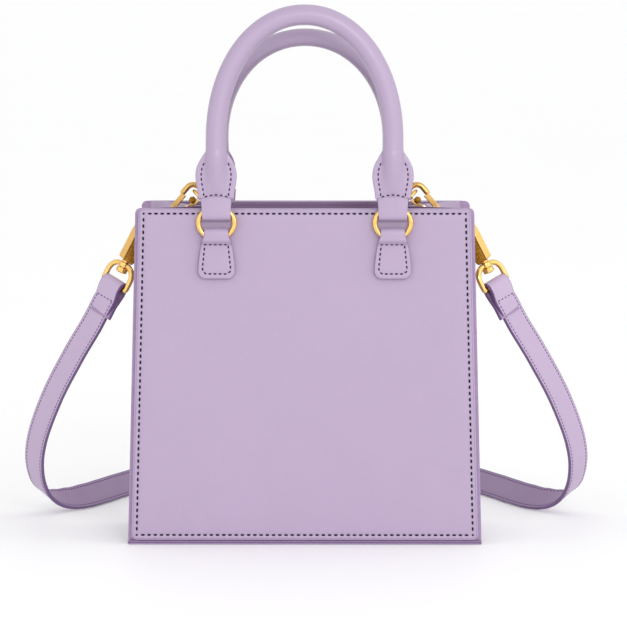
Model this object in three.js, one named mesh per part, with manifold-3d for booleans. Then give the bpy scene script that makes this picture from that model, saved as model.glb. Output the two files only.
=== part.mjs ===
// Small square leather tote bag with two rolled handles and a shoulder strap.
// Millimetres, +Z up, front face towards -Y, origin on the ground below the middle of the bag.

import * as THREE from "three";
import { mergeVertices } from "three/addons/utils/BufferGeometryUtils.js";
import Module from "manifold-3d";

const wasm = await Module();
wasm.setup();

// Main sizes
const bodyHeight = 190;
const baseWidth = 200;
const baseDepth = 85;
const strapSpread = 160.6; // half the distance between the strap's widest points
const strapReach = 233; // how far the strap lies behind the middle of the bag

// Body
const widthTaper = 9.4; // how much narrower and shallower the bag is at its mouth
const depthTaper = 10;
const topWidth = baseWidth - widthTaper;
const topDepth = baseDepth - depthTaper;
const baseThickness = 2.2;
const panelThickness = 2.4;
const panelCorner = 3;
const seamReveal = 1.9; // how far the sewn edge of the sides shows past a panel
const seamAllowance = 7; // depth of the sewn edge behind a panel
const sideThickness = 1.8;
const foldDepth = 29.5; // how far a side is folded in at the mouth
const foldHeight = bodyHeight / 2; // length of the fold, from the mouth down
const foldForward = 0.4; // share of half the depth that the crease stands before the middle
const clearance = 0.3;

// Rings, placed from the mouth, and the tabs that hang them from a panel
const leatherThickness = 1.3;
const ringWidth = 23;
const ringHeight = 19.7;
const ringWire = 2.7;
const ringDrop = 8; // a ring's middle below the mouth
const ringCentre = bodyHeight - ringDrop;
const tabWidth = 20.9;
const tabLength = 28.4;
const tabDrop = 3; // top of a tab's fold below the ring's middle
const tabFold = ringCentre - tabDrop;
const tabBottom = tabFold - tabLength;

// Handles and their folded ends, placed from the rings
const handleSpacing = 99; // between the middles of one handle's two ends
const handleRadius = 5.8;
const rearHandleRadius = 5;
const handleRise = 108.6; // height of a handle from the lower end of its flares
const archFullness = 2.05; // exponent of the arch, 2 is an ellipse
const paddleWidth = 23.4;
const paddleHeight = 33.4;
const paddleThickness = 2.2;
const paddleRise = 13.6; // lower end of a flare above the ring's middle
const paddleBottom = ringCentre + paddleRise;
const handleTop = paddleBottom + handleRise;
const loopWidth = 16.2;
const loopRise = 1.4; // lowest point of a handle's fold above the ring's middle
const loopFold = ringCentre + loopRise;
const rearHandleLean = 31; // degrees towards the front
const leanGap = 3; // where the rear handle starts to lean, above the mouth
const leanLength = 8; // height over which it bends
const leanStart = bodyHeight + leanGap;
const leanEnd = leanStart + leanLength;

// Clasps, in the plane that a clasp lies in
const claspSetback = 3; // distance of the clasps behind the crease of the folded side
const heldOut = 6.2; // the ring wire that a hook holds, out from the crease's top
const heldRise = 8.5; // the same wire above the mouth
const claspAngle = 49.4; // degrees above the ground
const claspLength = 60.6;
const claspThickness = 5;
const claspBevel = 0.5;
const stemWidth = 3.2;
const stemOuter = 1.2; // edges of the clasp, measured from its middle line
const footOuter = 4.3;
const footSwell = 9;
const footInner = 4.2;
const footOverhang = 1.2; // how far the foot runs past the swivel
const footShare = 0.3; // shares of the clasp's length at which the foot is widest and the stem starts
const stemShare = 0.67;
const hookRadius = 4.5;
const hookWire = 3.2;
const hookStep = 1.2; // how far the hook stands out past the stem
const hookLead = 4.3; // straight wire before the hook's bend
const gateThickness = 2.4;
const gateLength = 8.1;
const gateWidth = 2;
const gatePivotBack = 9.6; // the gate's pivot from the hook's centre, towards the swivel
const gatePivotIn = 3.2; // and towards the bag
const lugRadius = 2.1;
const lugTaper = 12; // length over which the foot's inner edge comes in to the pivot
const pinRadius = 0.6;
const studRadius = 2;
const studHeight = 3.4;
const studShare = 0.77; // place of the stud along the gate
const studIn = 0.8; // and towards the stem
const postAngle = 63;
const postRadius = 1.7;
const postLength = 7.8;
const postInside = 2; // length of the post inside the foot
const collarRadius = 3.3;
const collarHeight = 1.6;
const headRadius = 3;
const headHeight = 2.4;
const bossStart = 1.2;
const bossWall = 1.5;
const edgeBreak = 0.5; // how much narrower a turned part is at its outer end
const loopWire = 2.8;
const loopInnerWidth = 15.8;
const loopHeight = 12.6;
const loopTurn = 38; // degrees that a strap loop is turned about its post

// Rings inside the bag that the clasps hold
const innerRingRise = 1; // height of the ring's low side above the mouth
const innerRingWire = 1.8;
const innerTabWidth = 5;
const innerTabHeight = 16;
const innerTabSlack = 0.6; // room for the ring's curve inside the tab's fold

// Shoulder strap
const strapWidth = 15.4;
const strapThickness = 2.2;
const strapTail = 19;

const leather = { color: 0xc3b0cb, roughness: 0.5, metalness: 0 };
const metal = { color: 0xd9b071, roughness: 0.25, metalness: 1 };

const root = new THREE.Group();

function shareOf(height) {
  return height / bodyHeight;
}

function halfWidthAt(height) {
  return THREE.MathUtils.lerp(baseWidth, topWidth, shareOf(height)) / 2;
}

function halfDepthAt(height) {
  return THREE.MathUtils.lerp(baseDepth, topDepth, shareOf(height)) / 2;
}

// Positive where the triangles of a closed surface face out. Its size is six times the volume.
function windingOf(positions, triangles) {
  const corners = triangles.map((index) => new THREE.Vector3().fromArray(positions, index * 3));
  let total = 0;
  while (corners.length > 0) {
    const [a, b, c] = corners.splice(-3);
    total += a.dot(b.cross(c));
  }
  return total;
}

// A geometry whose faces point out, whichever way its triangles were wound.
function outward(positions, triangles) {
  if (windingOf(positions, triangles) < 0) {
    triangles.reverse();
  }
  const geometry = new THREE.BufferGeometry();
  geometry.setAttribute("position", new THREE.Float32BufferAttribute(positions, 3));
  geometry.setIndex(triangles);
  return geometry;
}

// Triangles that close one flat ring of points.
function capTriangles(ring) {
  const normal = new THREE.Vector3();
  ring.forEach((point, i) => {
    normal.add(point.clone().cross(ring[(i + 1) % ring.length]));
  });
  const across = ring[1].clone().sub(ring[0]).normalize();
  const up = normal.normalize().clone().cross(across);
  const flat = ring.map((point) => new THREE.Vector2(point.dot(across), point.dot(up)));
  return THREE.ShapeUtils.triangulateShape(flat, []);
}

// A solid through rings of points, joined end to end when it is a loop.
function loft(rings, isLoop = false) {
  const size = rings[0].length;
  const positions = rings.flat().flatMap((point) => point.toArray());
  const triangles = [];
  const spans = isLoop ? rings.length : rings.length - 1;
  for (let r = 0; r < spans; r += 1) {
    const near = r * size;
    const far = ((r + 1) % rings.length) * size;
    for (let i = 0; i < size; i += 1) {
      const j = (i + 1) % size;
      triangles.push(near + i, near + j, far + j, near + i, far + j, far + i);
    }
  }
  if (!isLoop) {
    const last = (rings.length - 1) * size;
    capTriangles(rings[0]).forEach(([a, b, c]) => triangles.push(c, b, a));
    capTriangles(rings.at(-1)).forEach(([a, b, c]) => triangles.push(last + a, last + b, last + c));
  }
  return outward(positions, triangles);
}

function toSolid(geometry) {
  const bare = geometry.clone();
  bare.deleteAttribute("normal");
  bare.deleteAttribute("uv");
  const merged = mergeVertices(bare, 1e-4);
  const vertProperties = new Float32Array(merged.attributes.position.array);
  const triVerts = new Uint32Array(merged.index.array);
  return new wasm.Manifold(new wasm.Mesh({ numProp: 3, vertProperties, triVerts }));
}

function toGeometry(solid) {
  const mesh = solid.getMesh();
  return outward(Array.from(mesh.vertProperties), Array.from(mesh.triVerts));
}

function mirrored(geometry, side) {
  const bare = geometry.clone().scale(side, 1, 1);
  const index = bare.index ?? mergeVertices(bare).index;
  return outward(Array.from(bare.attributes.position.array), Array.from(index.array));
}

function addPiece(parent, name, geometry, look) {
  const mesh = new THREE.Mesh(geometry, new THREE.MeshStandardMaterial(look));
  mesh.name = name;
  parent.add(mesh);
  return mesh;
}

// Front and back panels, stiff leather plates that lean in towards the mouth.
function panelGeometry() {
  const lean = Math.atan((baseDepth - topDepth) / 2 / bodyHeight);
  const bottom = (baseThickness + clearance) / Math.cos(lean);
  const top = bodyHeight / Math.cos(lean);
  const low = halfWidthAt(baseThickness + clearance) - seamReveal;
  const high = halfWidthAt(bodyHeight) - seamReveal;
  const shape = new THREE.Shape();
  shape.moveTo(-low + panelCorner, bottom);
  shape.lineTo(low - panelCorner, bottom);
  shape.quadraticCurveTo(low, bottom, low, bottom + panelCorner);
  shape.lineTo(high, top - panelCorner);
  shape.quadraticCurveTo(high, top, high - panelCorner, top);
  shape.lineTo(-high + panelCorner, top);
  shape.quadraticCurveTo(-high, top, -high, top - panelCorner);
  shape.lineTo(-low, bottom + panelCorner);
  shape.quadraticCurveTo(-low, bottom, -low + panelCorner, bottom);
  const geometry = new THREE.ExtrudeGeometry(shape, {
    depth: panelThickness,
    bevelEnabled: false,
    curveSegments: 4,
  });
  geometry.translate(0, 0, -panelThickness);
  geometry.rotateX(Math.PI / 2 - lean);
  geometry.translate(0, -baseDepth / 2, 0);
  return geometry;
}

// How far the side has been folded in at a height.
function foldAt(height) {
  const share = (height - bodyHeight + foldHeight) / foldHeight;
  return foldDepth * Math.max(0, share);
}

function creaseY(height) {
  return -foldForward * halfDepthAt(height);
}

// Level outline of a side: its sewn edges stand out behind the panels and the wall folds in.
function sideRing(side, height, tipInset) {
  const tip = halfWidthAt(height) - tipInset;
  const wall = halfWidthAt(height) - seamAllowance;
  const inner = wall - sideThickness;
  const face = halfDepthAt(height) - panelThickness - clearance;
  const back = face - sideThickness;
  const fold = foldAt(height);
  const crease = creaseY(height);
  const outline = [
    [tip, -face],
    [inner, -face],
    [inner - fold, crease],
    [inner, face],
    [tip, face],
    [tip, back],
    [wall, back],
    [wall - fold, crease],
    [wall, -back],
    [tip, -back],
  ];
  return outline.map(([x, y]) => new THREE.Vector3(side * x, y, height));
}

function sideGeometry(side) {
  const start = baseThickness + clearance;
  const foldStart = bodyHeight - foldHeight;
  const rings = [
    sideRing(side, start, 0),
    sideRing(side, foldStart, 0),
    sideRing(side, bodyHeight - panelCorner, 0),
    sideRing(side, bodyHeight - panelCorner / 3, panelCorner / 4),
    sideRing(side, bodyHeight, panelCorner * 0.8),
  ];
  return loft(rings);
}

function baseRing(height) {
  const x = halfWidthAt(height);
  const y = halfDepthAt(height);
  const cut = panelCorner / 2;
  const outline = [
    [x - cut, -y],
    [x, -y + cut],
    [x, y - cut],
    [x - cut, y],
    [-x + cut, y],
    [-x, y - cut],
    [-x, -y + cut],
    [-x + cut, -y],
  ];
  return outline.map(([a, b]) => new THREE.Vector3(a, b, height));
}

// A point of the front face: across, out from the panel's face, up.
function onFace(across, out, up) {
  return new THREE.Vector3(across, -halfDepthAt(up) - out, up);
}

// The same after the handle is leaned towards the mouth by an angle.
function onLeaningFace(lean, across, out, up) {
  const angle = Math.max(THREE.MathUtils.degToRad(lean), 1e-6);
  const bendLength = leanEnd - leanStart;
  const bent = THREE.MathUtils.clamp(up - leanStart, 0, bendLength);
  const turned = angle * (bent / bendLength);
  const below = Math.min(up, leanStart);
  const above = Math.max(0, up - leanEnd);
  const radius = bendLength / angle;
  const inward = radius * (1 - Math.cos(turned)) + above * Math.sin(turned);
  const rise = below + radius * Math.sin(turned) + above * Math.cos(turned);
  const offset = out - ringOut;
  return onFace(across, ringOut - inward + offset * Math.cos(turned), rise + offset * Math.sin(turned));
}

const foldRadius = ringWire / 2 + clearance + leatherThickness / 2;
const innerLayer = clearance + leatherThickness / 2;
const ringOut = innerLayer + foldRadius;
const outerLayer = ringOut + foldRadius;
const layerStep = leatherThickness + clearance;

// A flat strip of leather along a path of [out, up, half width], in any placing.
function strip(path, centre, thickness, place) {
  const rings = path.map(([out, up, half], i) => {
    const before = path[Math.max(0, i - 1)];
    const after = path[Math.min(path.length - 1, i + 1)];
    const along = new THREE.Vector2(after[0] - before[0], after[1] - before[1]).normalize();
    const shiftOut = (-along.y * thickness) / 2;
    const shiftUp = (along.x * thickness) / 2;
    return [
      place(centre - half, out + shiftOut, up + shiftUp),
      place(centre + half, out + shiftOut, up + shiftUp),
      place(centre + half, out - shiftOut, up - shiftUp),
      place(centre - half, out - shiftOut, up - shiftUp),
    ];
  });
  return loft(rings);
}

// Half a turn of a strip round a ring's wire, from the outer layer to the inner one.
function foldPath(centreUp, half, direction) {
  const steps = 8;
  return Array.from({ length: steps + 1 }, (_, i) => {
    const angle = (Math.PI * i) / steps;
    const out = ringOut + foldRadius * Math.cos(angle);
    return [out, centreUp + direction * foldRadius * Math.sin(angle), half];
  });
}

// Rounded-end outline of a tab: share of the length below the fold, share of the half width.
const tabOutline = [
  { down: 0.13, width: 0.66 },
  { down: 0.22, width: 0.74 },
  { down: 0.32, width: 0.82 },
  { down: 0.61, width: 0.95 },
  { down: 0.85, width: 1 },
  { down: 0.92, width: 0.98 },
  { down: 0.97, width: 0.88 },
  { down: 1, width: 0.68 },
];

function tabGeometry(across) {
  const length = tabFold - tabBottom;
  const neck = (tabOutline[0].width * tabWidth) / 2;
  const foldCentre = tabFold - leatherThickness / 2 - foldRadius;
  const slotEnd = ringCentre - ringHeight / 2 - clearance;
  const wideEnd = slotEnd - 2 * foldRadius;
  const outOf = (up) => {
    const share = THREE.MathUtils.clamp((up - wideEnd) / (slotEnd - wideEnd), 0, 1);
    return THREE.MathUtils.lerp(innerLayer + layerStep, outerLayer, share);
  };
  const rows = tabOutline.map(({ down, width }) => [tabFold - down * length, (width * tabWidth) / 2]);
  const flat = rows.filter(([up]) => up < foldCentre);
  const outer = flat.map(([up, half]) => [outOf(up), up, half]).reverse();
  const inner = flat.map(([up, half]) => [innerLayer, up, half]);
  const path = [...outer, ...foldPath(foldCentre, neck, 1), ...inner];
  return strip(path, across, leatherThickness, onFace);
}

// Outline and section of a handle's flared end: shares of its height, width and tube radius.
const paddleSections = [
  { up: 0, width: 0.85, ridge: 0.05, back: 0, edge: 1 },
  { up: 0.1, width: 0.91, ridge: 0.17, back: 0, edge: 1 },
  { up: 0.2, width: 0.96, ridge: 0.32, back: 0, edge: 1 },
  { up: 0.35, width: 1, ridge: 0.5, back: 0, edge: 1 },
  { up: 0.49, width: 0.98, ridge: 0.66, back: 0, edge: 1 },
  { up: 0.58, width: 0.9, ridge: 0.76, back: 0, edge: 0.95 },
  { up: 0.66, width: 0.79, ridge: 0.84, back: 0.15, edge: 0.8 },
  { up: 0.74, width: 0.66, ridge: 0.9, back: 0.4, edge: 0.5 },
  { up: 0.81, width: 0.555, ridge: 0.95, back: 0.65, edge: 0.25 },
  { up: 0.89, width: 0.5, ridge: 0.98, back: 0.85, edge: 0.05 },
];

// Spade-shaped end of the strip behind a handle: share of the paddle's height and width.
const spadeOutline = [
  { up: 0.35, width: 0.96 },
  { up: 0.46, width: 0.93 },
  { up: 0.54, width: 0.8 },
  { up: 0.58, width: 0.55 },
];

// Places on the paddle where the strip behind it widens, bends off and ends.
const strapNeck = { up: 0.1, width: 0.82 };
const tuckPlace = { up: 0.2, width: 0.9 };

const tubeOut = innerLayer + 2 * layerStep + (paddleThickness + leatherThickness) / 2;

// The strip that folds round a ring and runs up behind the handle's flared end.
function loopGeometry(across, lean) {
  const half = loopWidth / 2;
  const foldCentre = loopFold + leatherThickness / 2 + foldRadius;
  const slotEnd = ringCentre + ringHeight / 2 + clearance;
  const frontUp = innerLayer + 2 * layerStep - clearance;
  const backUp = frontUp - layerStep;
  const behindPaddle = (out, { up, width }) => {
    return [out, paddleBottom + up * paddleHeight, (width * paddleWidth) / 2];
  };
  const front = [
    behindPaddle(frontUp, tuckPlace),
    behindPaddle(frontUp, strapNeck),
    [frontUp, paddleBottom - clearance, half],
    [outerLayer, slotEnd, half],
  ];
  const back = [
    [innerLayer, slotEnd, half],
    [backUp, paddleBottom - clearance, half],
    behindPaddle(backUp, strapNeck),
    behindPaddle(backUp, tuckPlace),
  ];
  const spade = spadeOutline.map((row) => behindPaddle(frontUp, row));
  const path = [...front, ...foldPath(foldCentre, half, -1), ...back, ...spade];
  const place = (x, out, up) => onLeaningFace(lean, x, out, up);
  return strip(path, across, leatherThickness, place);
}

// Outline of a handle's tube or flared end across its path.
function handleRing(centre, across, section, place) {
  const sides = 16;
  return Array.from({ length: sides }, (_, i) => {
    const angle = ((i + 0.5) * 2 * Math.PI) / sides;
    const offset = (section.half * Math.cos(angle)) / Math.cos(Math.PI / sides);
    const swell = Math.sqrt(Math.max(0, 1 - (offset / section.radius) ** 2));
    const height = angle < Math.PI ? section.front : section.back;
    const out = Math.sign(Math.sin(angle)) * (section.edge / 2 + height * swell);
    return place(centre.x + across.x * offset, tubeOut + out, centre.y + across.y * offset);
  });
}

function roundSection(radius) {
  return { half: radius * Math.cos(Math.PI / 16), front: radius, back: radius, edge: 0, radius };
}

function paddleRings(side, radius, place) {
  return paddleSections.map(({ up, width, ridge, back, edge }) => {
    const section = {
      half: Math.max((width * paddleWidth) / 2, radius),
      front: ridge * radius,
      back: back * radius,
      edge: edge * paddleThickness,
      radius,
    };
    const centre = new THREE.Vector2((side * handleSpacing) / 2, paddleBottom + up * paddleHeight);
    return handleRing(centre, new THREE.Vector2(-1, 0), section, place);
  });
}

// Middle line of the arch between the two flared ends, fuller than an ellipse.
function archPoint(angle) {
  const spring = paddleBottom + paddleHeight;
  const archHeight = handleTop - handleRadius - spring;
  const power = 2 / archFullness;
  const x = Math.sign(-Math.cos(angle)) * Math.abs(Math.cos(angle)) ** power;
  const y = Math.abs(Math.sin(angle)) ** power;
  return new THREE.Vector2((x * handleSpacing) / 2, spring + y * archHeight);
}

function archRings(radius, place) {
  const steps = 24;
  const nudge = 1e-3;
  const rings = [];
  for (let i = 0; i <= steps; i += 1) {
    const angle = (Math.PI * i) / steps;
    const centre = archPoint(angle);
    const after = archPoint(Math.min(angle + nudge, Math.PI));
    const before = archPoint(Math.max(angle - nudge, 0));
    const along = after.sub(before).normalize();
    const across = new THREE.Vector2(-along.y, along.x);
    rings.push(handleRing(centre, across, roundSection(radius), place));
  }
  return rings;
}

function handleGeometry(lean, radius) {
  const place = (x, out, up) => onLeaningFace(lean, x, out, up);
  const left = paddleRings(-1, radius, place);
  const right = paddleRings(1, radius, place).map((ring) => flipRing(ring)).reverse();
  return loft([...left, ...archRings(radius, place), ...right]);
}

// The same ring taken half a turn on, for the side where the path runs down.
function flipRing(ring) {
  const half = ring.length / 2;
  return ring.map((_, i) => ring[(ring.length + half - 1 - i) % ring.length]);
}

// Oval ring of round wire.
function ringGeometry(across) {
  const steps = 26;
  const sides = 8;
  const wide = (ringWidth - ringWire) / 2;
  const tall = (ringHeight - ringWire) / 2;
  const rings = Array.from({ length: steps }, (_, i) => {
    const turn = (2 * Math.PI * i) / steps;
    const normal = new THREE.Vector2(Math.cos(turn) / wide, Math.sin(turn) / tall).normalize();
    return Array.from({ length: sides }, (_unused, j) => {
      const angle = (2 * Math.PI * (j + 0.5)) / sides;
      const radial = (ringWire / 2) * Math.cos(angle);
      const x = across + wide * Math.cos(turn) + normal.x * radial;
      const up = ringCentre + tall * Math.sin(turn) + normal.y * radial;
      return onFace(x, ringOut + (ringWire / 2) * Math.sin(angle), up);
    });
  });
  return loft(rings, true);
}

// Inner edge of the left side's fold, at the mouth and where the fold starts.
const creaseTop = new THREE.Vector3(
  -(halfWidthAt(bodyHeight) - seamAllowance - sideThickness - foldDepth),
  creaseY(bodyHeight),
  bodyHeight,
);
const creaseFoot = new THREE.Vector3(
  -(halfWidthAt(bodyHeight - foldHeight) - seamAllowance - sideThickness),
  creaseY(bodyHeight - foldHeight),
  bodyHeight - foldHeight,
);

// Middles of the hook and of the wire that it holds, along a clasp and to its outer side.
const hookCentreAlong = claspLength - hookRadius - hookWire / 2;
const hookCentreSide = stemOuter + hookStep - hookWire / 2 - hookRadius;
const heldAlong = hookCentreAlong + (hookRadius - hookWire / 2 - innerRingWire / 2) / 2;
const heldSide = hookCentreSide + innerRingWire / 4;
const hookStart = hookCentreAlong - hookLead;
const pivotAlong = hookCentreAlong - gatePivotBack;
const pivotSide = hookCentreSide - gatePivotIn;

// Plane of a left clasp: along its stem, away from the bag, towards the front.
const claspY = creaseTop.y + claspSetback;
const claspTurn = THREE.MathUtils.degToRad(claspAngle);
const claspAlong = new THREE.Vector3(Math.cos(claspTurn), 0, Math.sin(claspTurn));
const claspOutward = new THREE.Vector3(-Math.sin(claspTurn), 0, Math.cos(claspTurn));
const heldWire = new THREE.Vector3(creaseTop.x - heldOut, claspY, bodyHeight + heldRise);
const swivel = heldWire.clone()
  .addScaledVector(claspAlong, -heldAlong)
  .addScaledVector(claspOutward, -heldSide);
const claspPlace = new THREE.Matrix4()
  .makeBasis(claspAlong, claspOutward, new THREE.Vector3(0, -1, 0))
  .setPosition(swivel);

// Flat body of a clasp: a wide foot at the swivel that narrows to the stem.
function claspPlate() {
  const stemInner = stemOuter - stemWidth;
  const swellAt = footShare * claspLength;
  const stemAt = stemShare * claspLength;
  const ease = 0.4 * (stemAt - swellAt);
  const slope = (footSwell - footOuter) / (swellAt + footOverhang);
  const pocketEnd = pivotAlong + lugRadius + 2 * clearance;
  const stemEnd = hookStart + hookWire / 3;
  const shape = new THREE.Shape();
  shape.moveTo(-footOverhang, footOuter);
  shape.lineTo(swellAt, footSwell);
  shape.bezierCurveTo(
    swellAt + ease, footSwell + slope * ease,
    stemAt - ease, stemOuter,
    stemAt, stemOuter,
  );
  shape.lineTo(stemEnd, stemOuter);
  shape.lineTo(stemEnd, stemInner);
  shape.lineTo(pocketEnd, stemInner);
  shape.lineTo(pocketEnd, pivotSide);
  shape.lineTo(pivotAlong, pivotSide - lugRadius);
  shape.lineTo(pivotAlong - lugRadius, pivotSide - lugRadius);
  shape.lineTo(pivotAlong - lugTaper, -footInner);
  shape.lineTo(footOverhang, -footInner);
  shape.closePath();
  const geometry = new THREE.ExtrudeGeometry(shape, {
    depth: claspThickness - 2 * claspBevel,
    bevelEnabled: true,
    bevelThickness: claspBevel,
    bevelSize: claspBevel,
    bevelOffset: -claspBevel,
    bevelSegments: 1,
    curveSegments: 8,
  });
  return geometry.translate(0, 0, claspBevel - claspThickness / 2);
}

// Round wire of the hook, from inside the stem round to its tip.
function hookRod() {
  const points = [new THREE.Vector3(hookStart, hookCentreSide + hookRadius, 0)];
  const steps = 14;
  const sides = 10;
  for (let i = 0; i <= steps; i += 1) {
    const angle = Math.PI / 2 - (Math.PI * i) / steps;
    points.push(new THREE.Vector3(
      hookCentreAlong + hookRadius * Math.cos(angle),
      hookCentreSide + hookRadius * Math.sin(angle),
      0,
    ));
  }
  points.push(new THREE.Vector3(hookCentreAlong - hookWire / 3, hookCentreSide - hookRadius, 0));
  const rings = points.map((point, i) => {
    const before = points[Math.max(0, i - 1)];
    const after = points[Math.min(points.length - 1, i + 1)];
    const along = after.clone().sub(before).normalize();
    const side = new THREE.Vector3(-along.y, along.x, 0);
    return Array.from({ length: sides }, (_, j) => {
      const angle = (2 * Math.PI * (j + 0.5)) / sides;
      const offset = (hookWire / 2) * Math.cos(angle);
      return point.clone().addScaledVector(side, offset).setZ((hookWire / 2) * Math.sin(angle));
    });
  });
  return loft(rings);
}

const postTurn = THREE.MathUtils.degToRad(postAngle - claspAngle);
const bossHeight = loopWire;

// A turned part set on the line of the post, at a distance down from the swivel.
function alongPost(distance, geometry) {
  geometry.rotateZ(Math.PI / 2);
  geometry.translate(-distance, 0, 0);
  geometry.rotateZ(postTurn);
  return geometry;
}

// The rivet that the strap loop turns on: collar, neck and head.
function postSolid() {
  const neck = new THREE.CylinderGeometry(postRadius, postRadius, postLength, 16);
  const collar = new THREE.CylinderGeometry(collarRadius, collarRadius - edgeBreak, collarHeight, 16);
  const head = new THREE.CylinderGeometry(headRadius - edgeBreak, headRadius, headHeight, 16);
  const headAt = bossStart + bossHeight + clearance + headHeight / 2;
  return toSolid(alongPost(postLength / 2 - postInside, neck))
    .add(toSolid(alongPost(0, collar)))
    .add(toSolid(alongPost(headAt, head)));
}

function pivotCylinder(radius, height) {
  const geometry = new THREE.CylinderGeometry(radius, radius, height, 16);
  geometry.rotateX(Math.PI / 2);
  geometry.translate(pivotAlong, pivotSide, 0);
  return toSolid(geometry);
}

function claspBodyGeometry() {
  const slotReach = lugRadius + clearance;
  const slotWidth = gateThickness + 2 * clearance;
  const slot = new THREE.BoxGeometry(2 * slotReach + gateWidth, 2 * slotReach + gateWidth / 2, slotWidth);
  slot.translate(pivotAlong + gateWidth / 2, pivotSide - gateWidth / 4, 0);
  const solid = toSolid(claspPlate())
    .subtract(toSolid(slot))
    .add(pivotCylinder(pinRadius, claspThickness - 2 * claspBevel))
    .add(toSolid(hookRod()))
    .add(postSolid());
  return toGeometry(solid).applyMatrix4(claspPlace);
}

// Lever that closes the hook, with a stud to push it by.
function gateGeometry() {
  const tipSide = hookCentreSide - hookRadius;
  const shape = new THREE.Shape();
  shape.moveTo(pivotAlong, pivotSide + gateWidth / 2);
  shape.lineTo(pivotAlong + gateLength, tipSide + gateWidth / 2);
  shape.lineTo(pivotAlong + gateLength, tipSide - gateWidth / 2);
  shape.lineTo(pivotAlong, pivotSide - lugRadius);
  shape.closePath();
  const lever = new THREE.ExtrudeGeometry(shape, { depth: gateThickness, bevelEnabled: false });
  lever.translate(0, 0, -gateThickness / 2);
  const stud = new THREE.CylinderGeometry(studRadius - edgeBreak, studRadius, studHeight, 8);
  stud.rotateX(Math.PI / 2);
  stud.translate(pivotAlong + studShare * gateLength, pivotSide + studIn, studHeight / 2);
  const solid = toSolid(lever)
    .add(pivotCylinder(lugRadius, gateThickness))
    .add(toSolid(stud))
    .subtract(pivotCylinder(pinRadius + clearance, 2 * claspThickness));
  return toGeometry(solid).applyMatrix4(claspPlace);
}

// Frame of a strap loop: down its post, across its bar, and out of its flat side.
const postDirection = THREE.MathUtils.degToRad(postAngle);
const down = new THREE.Vector3(-Math.cos(postDirection), 0, -Math.sin(postDirection));
const level = new THREE.Vector3(-down.z, 0, down.x);
const forward = new THREE.Vector3(0, -1, 0);
const loopAngle = THREE.MathUtils.degToRad(loopTurn);
const barAcross = level.clone().multiplyScalar(Math.cos(loopAngle))
  .addScaledVector(forward, Math.sin(loopAngle));
const barOut = down.clone().cross(barAcross);
const loopPlace = new THREE.Matrix4().makeBasis(down, barAcross, barOut).setPosition(swivel);
const loopStart = bossStart + bossHeight / 2;
const barCentre = swivel.clone().addScaledVector(down, loopStart + loopHeight);

// Round wire along a closed flat outline of [x, y] points.
function wireLoop(outline, wire, sides) {
  const rings = outline.map(([x, y], i) => {
    const before = outline[(i + outline.length - 1) % outline.length];
    const after = outline[(i + 1) % outline.length];
    const along = new THREE.Vector2(after[0] - before[0], after[1] - before[1]).normalize();
    return Array.from({ length: sides }, (_, j) => {
      const angle = (2 * Math.PI * (j + 0.5)) / sides;
      const radial = (wire / 2) * Math.cos(angle);
      return new THREE.Vector3(x + along.y * radial, y - along.x * radial, (wire / 2) * Math.sin(angle));
    });
  });
  return loft(rings, true);
}

// D-shaped loop of round wire that turns on the clasp's post.
function strapLoopGeometry() {
  const half = (loopInnerWidth + loopWire) / 2;
  const corner = half * 0.72;
  const foot = loopWire / 2;
  const cornerSteps = 7;
  const side = Array.from({ length: cornerSteps + 1 }, (_, i) => {
    const angle = (Math.PI / 2) * (i / cornerSteps);
    return [loopStart + corner - corner * Math.cos(angle), half - corner + corner * Math.sin(angle)];
  });
  side.push([loopStart + loopHeight - foot, half]);
  side.push([loopStart + loopHeight, half - foot]);
  const other = side.map(([x, y]) => [x, -y]).reverse();
  const bossRadius = postRadius + bossWall;
  const boss = new THREE.CylinderGeometry(bossRadius, bossRadius, bossHeight, 16);
  const hole = new THREE.CylinderGeometry(postRadius + clearance, postRadius + clearance, 2 * bossHeight, 16);
  const solid = toSolid(wireLoop([...side, ...other], loopWire, 8))
    .add(toSolid(boss.rotateZ(Math.PI / 2).translate(loopStart, 0, 0)))
    .subtract(toSolid(hole.rotateZ(Math.PI / 2).translate(loopStart, 0, 0)));
  return toGeometry(solid).applyMatrix4(loopPlace);
}

// Frame of an inner tab: up the crease of the folded side and out of it.
const creaseUp = creaseTop.clone().sub(creaseFoot).normalize();
const creaseOut = new THREE.Vector3(creaseUp.z, 0, -creaseUp.x).normalize();

// Where the wire of the inner ring passes the tab, measured up and out from the crease.
function innerRingFrame() {
  const out = 2 * clearance + leatherThickness + innerRingWire / 2 + innerTabSlack;
  const reach = heldWire.clone().sub(creaseTop);
  const high = new THREE.Vector2(reach.dot(creaseOut), reach.dot(creaseUp));
  const low = new THREE.Vector2(out, innerRingRise);
  return { high, low, radius: high.distanceTo(low) / 2 };
}

function onCrease(out, up) {
  return creaseTop.clone()
    .addScaledVector(creaseOut, out)
    .addScaledVector(creaseUp, up)
    .setY(claspY);
}

function innerRingGeometry() {
  const { high, low, radius } = innerRingFrame();
  const middle = high.clone().add(low).multiplyScalar(0.5);
  const centre = onCrease(middle.x, middle.y);
  const up = onCrease(high.x, high.y).sub(centre).normalize();
  const across = new THREE.Vector3(0, 1, 0);
  const place = new THREE.Matrix4().makeBasis(across, up, across.clone().cross(up)).setPosition(centre);
  return new THREE.TorusGeometry(radius, innerRingWire / 2, 8, 24).applyMatrix4(place);
}

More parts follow.
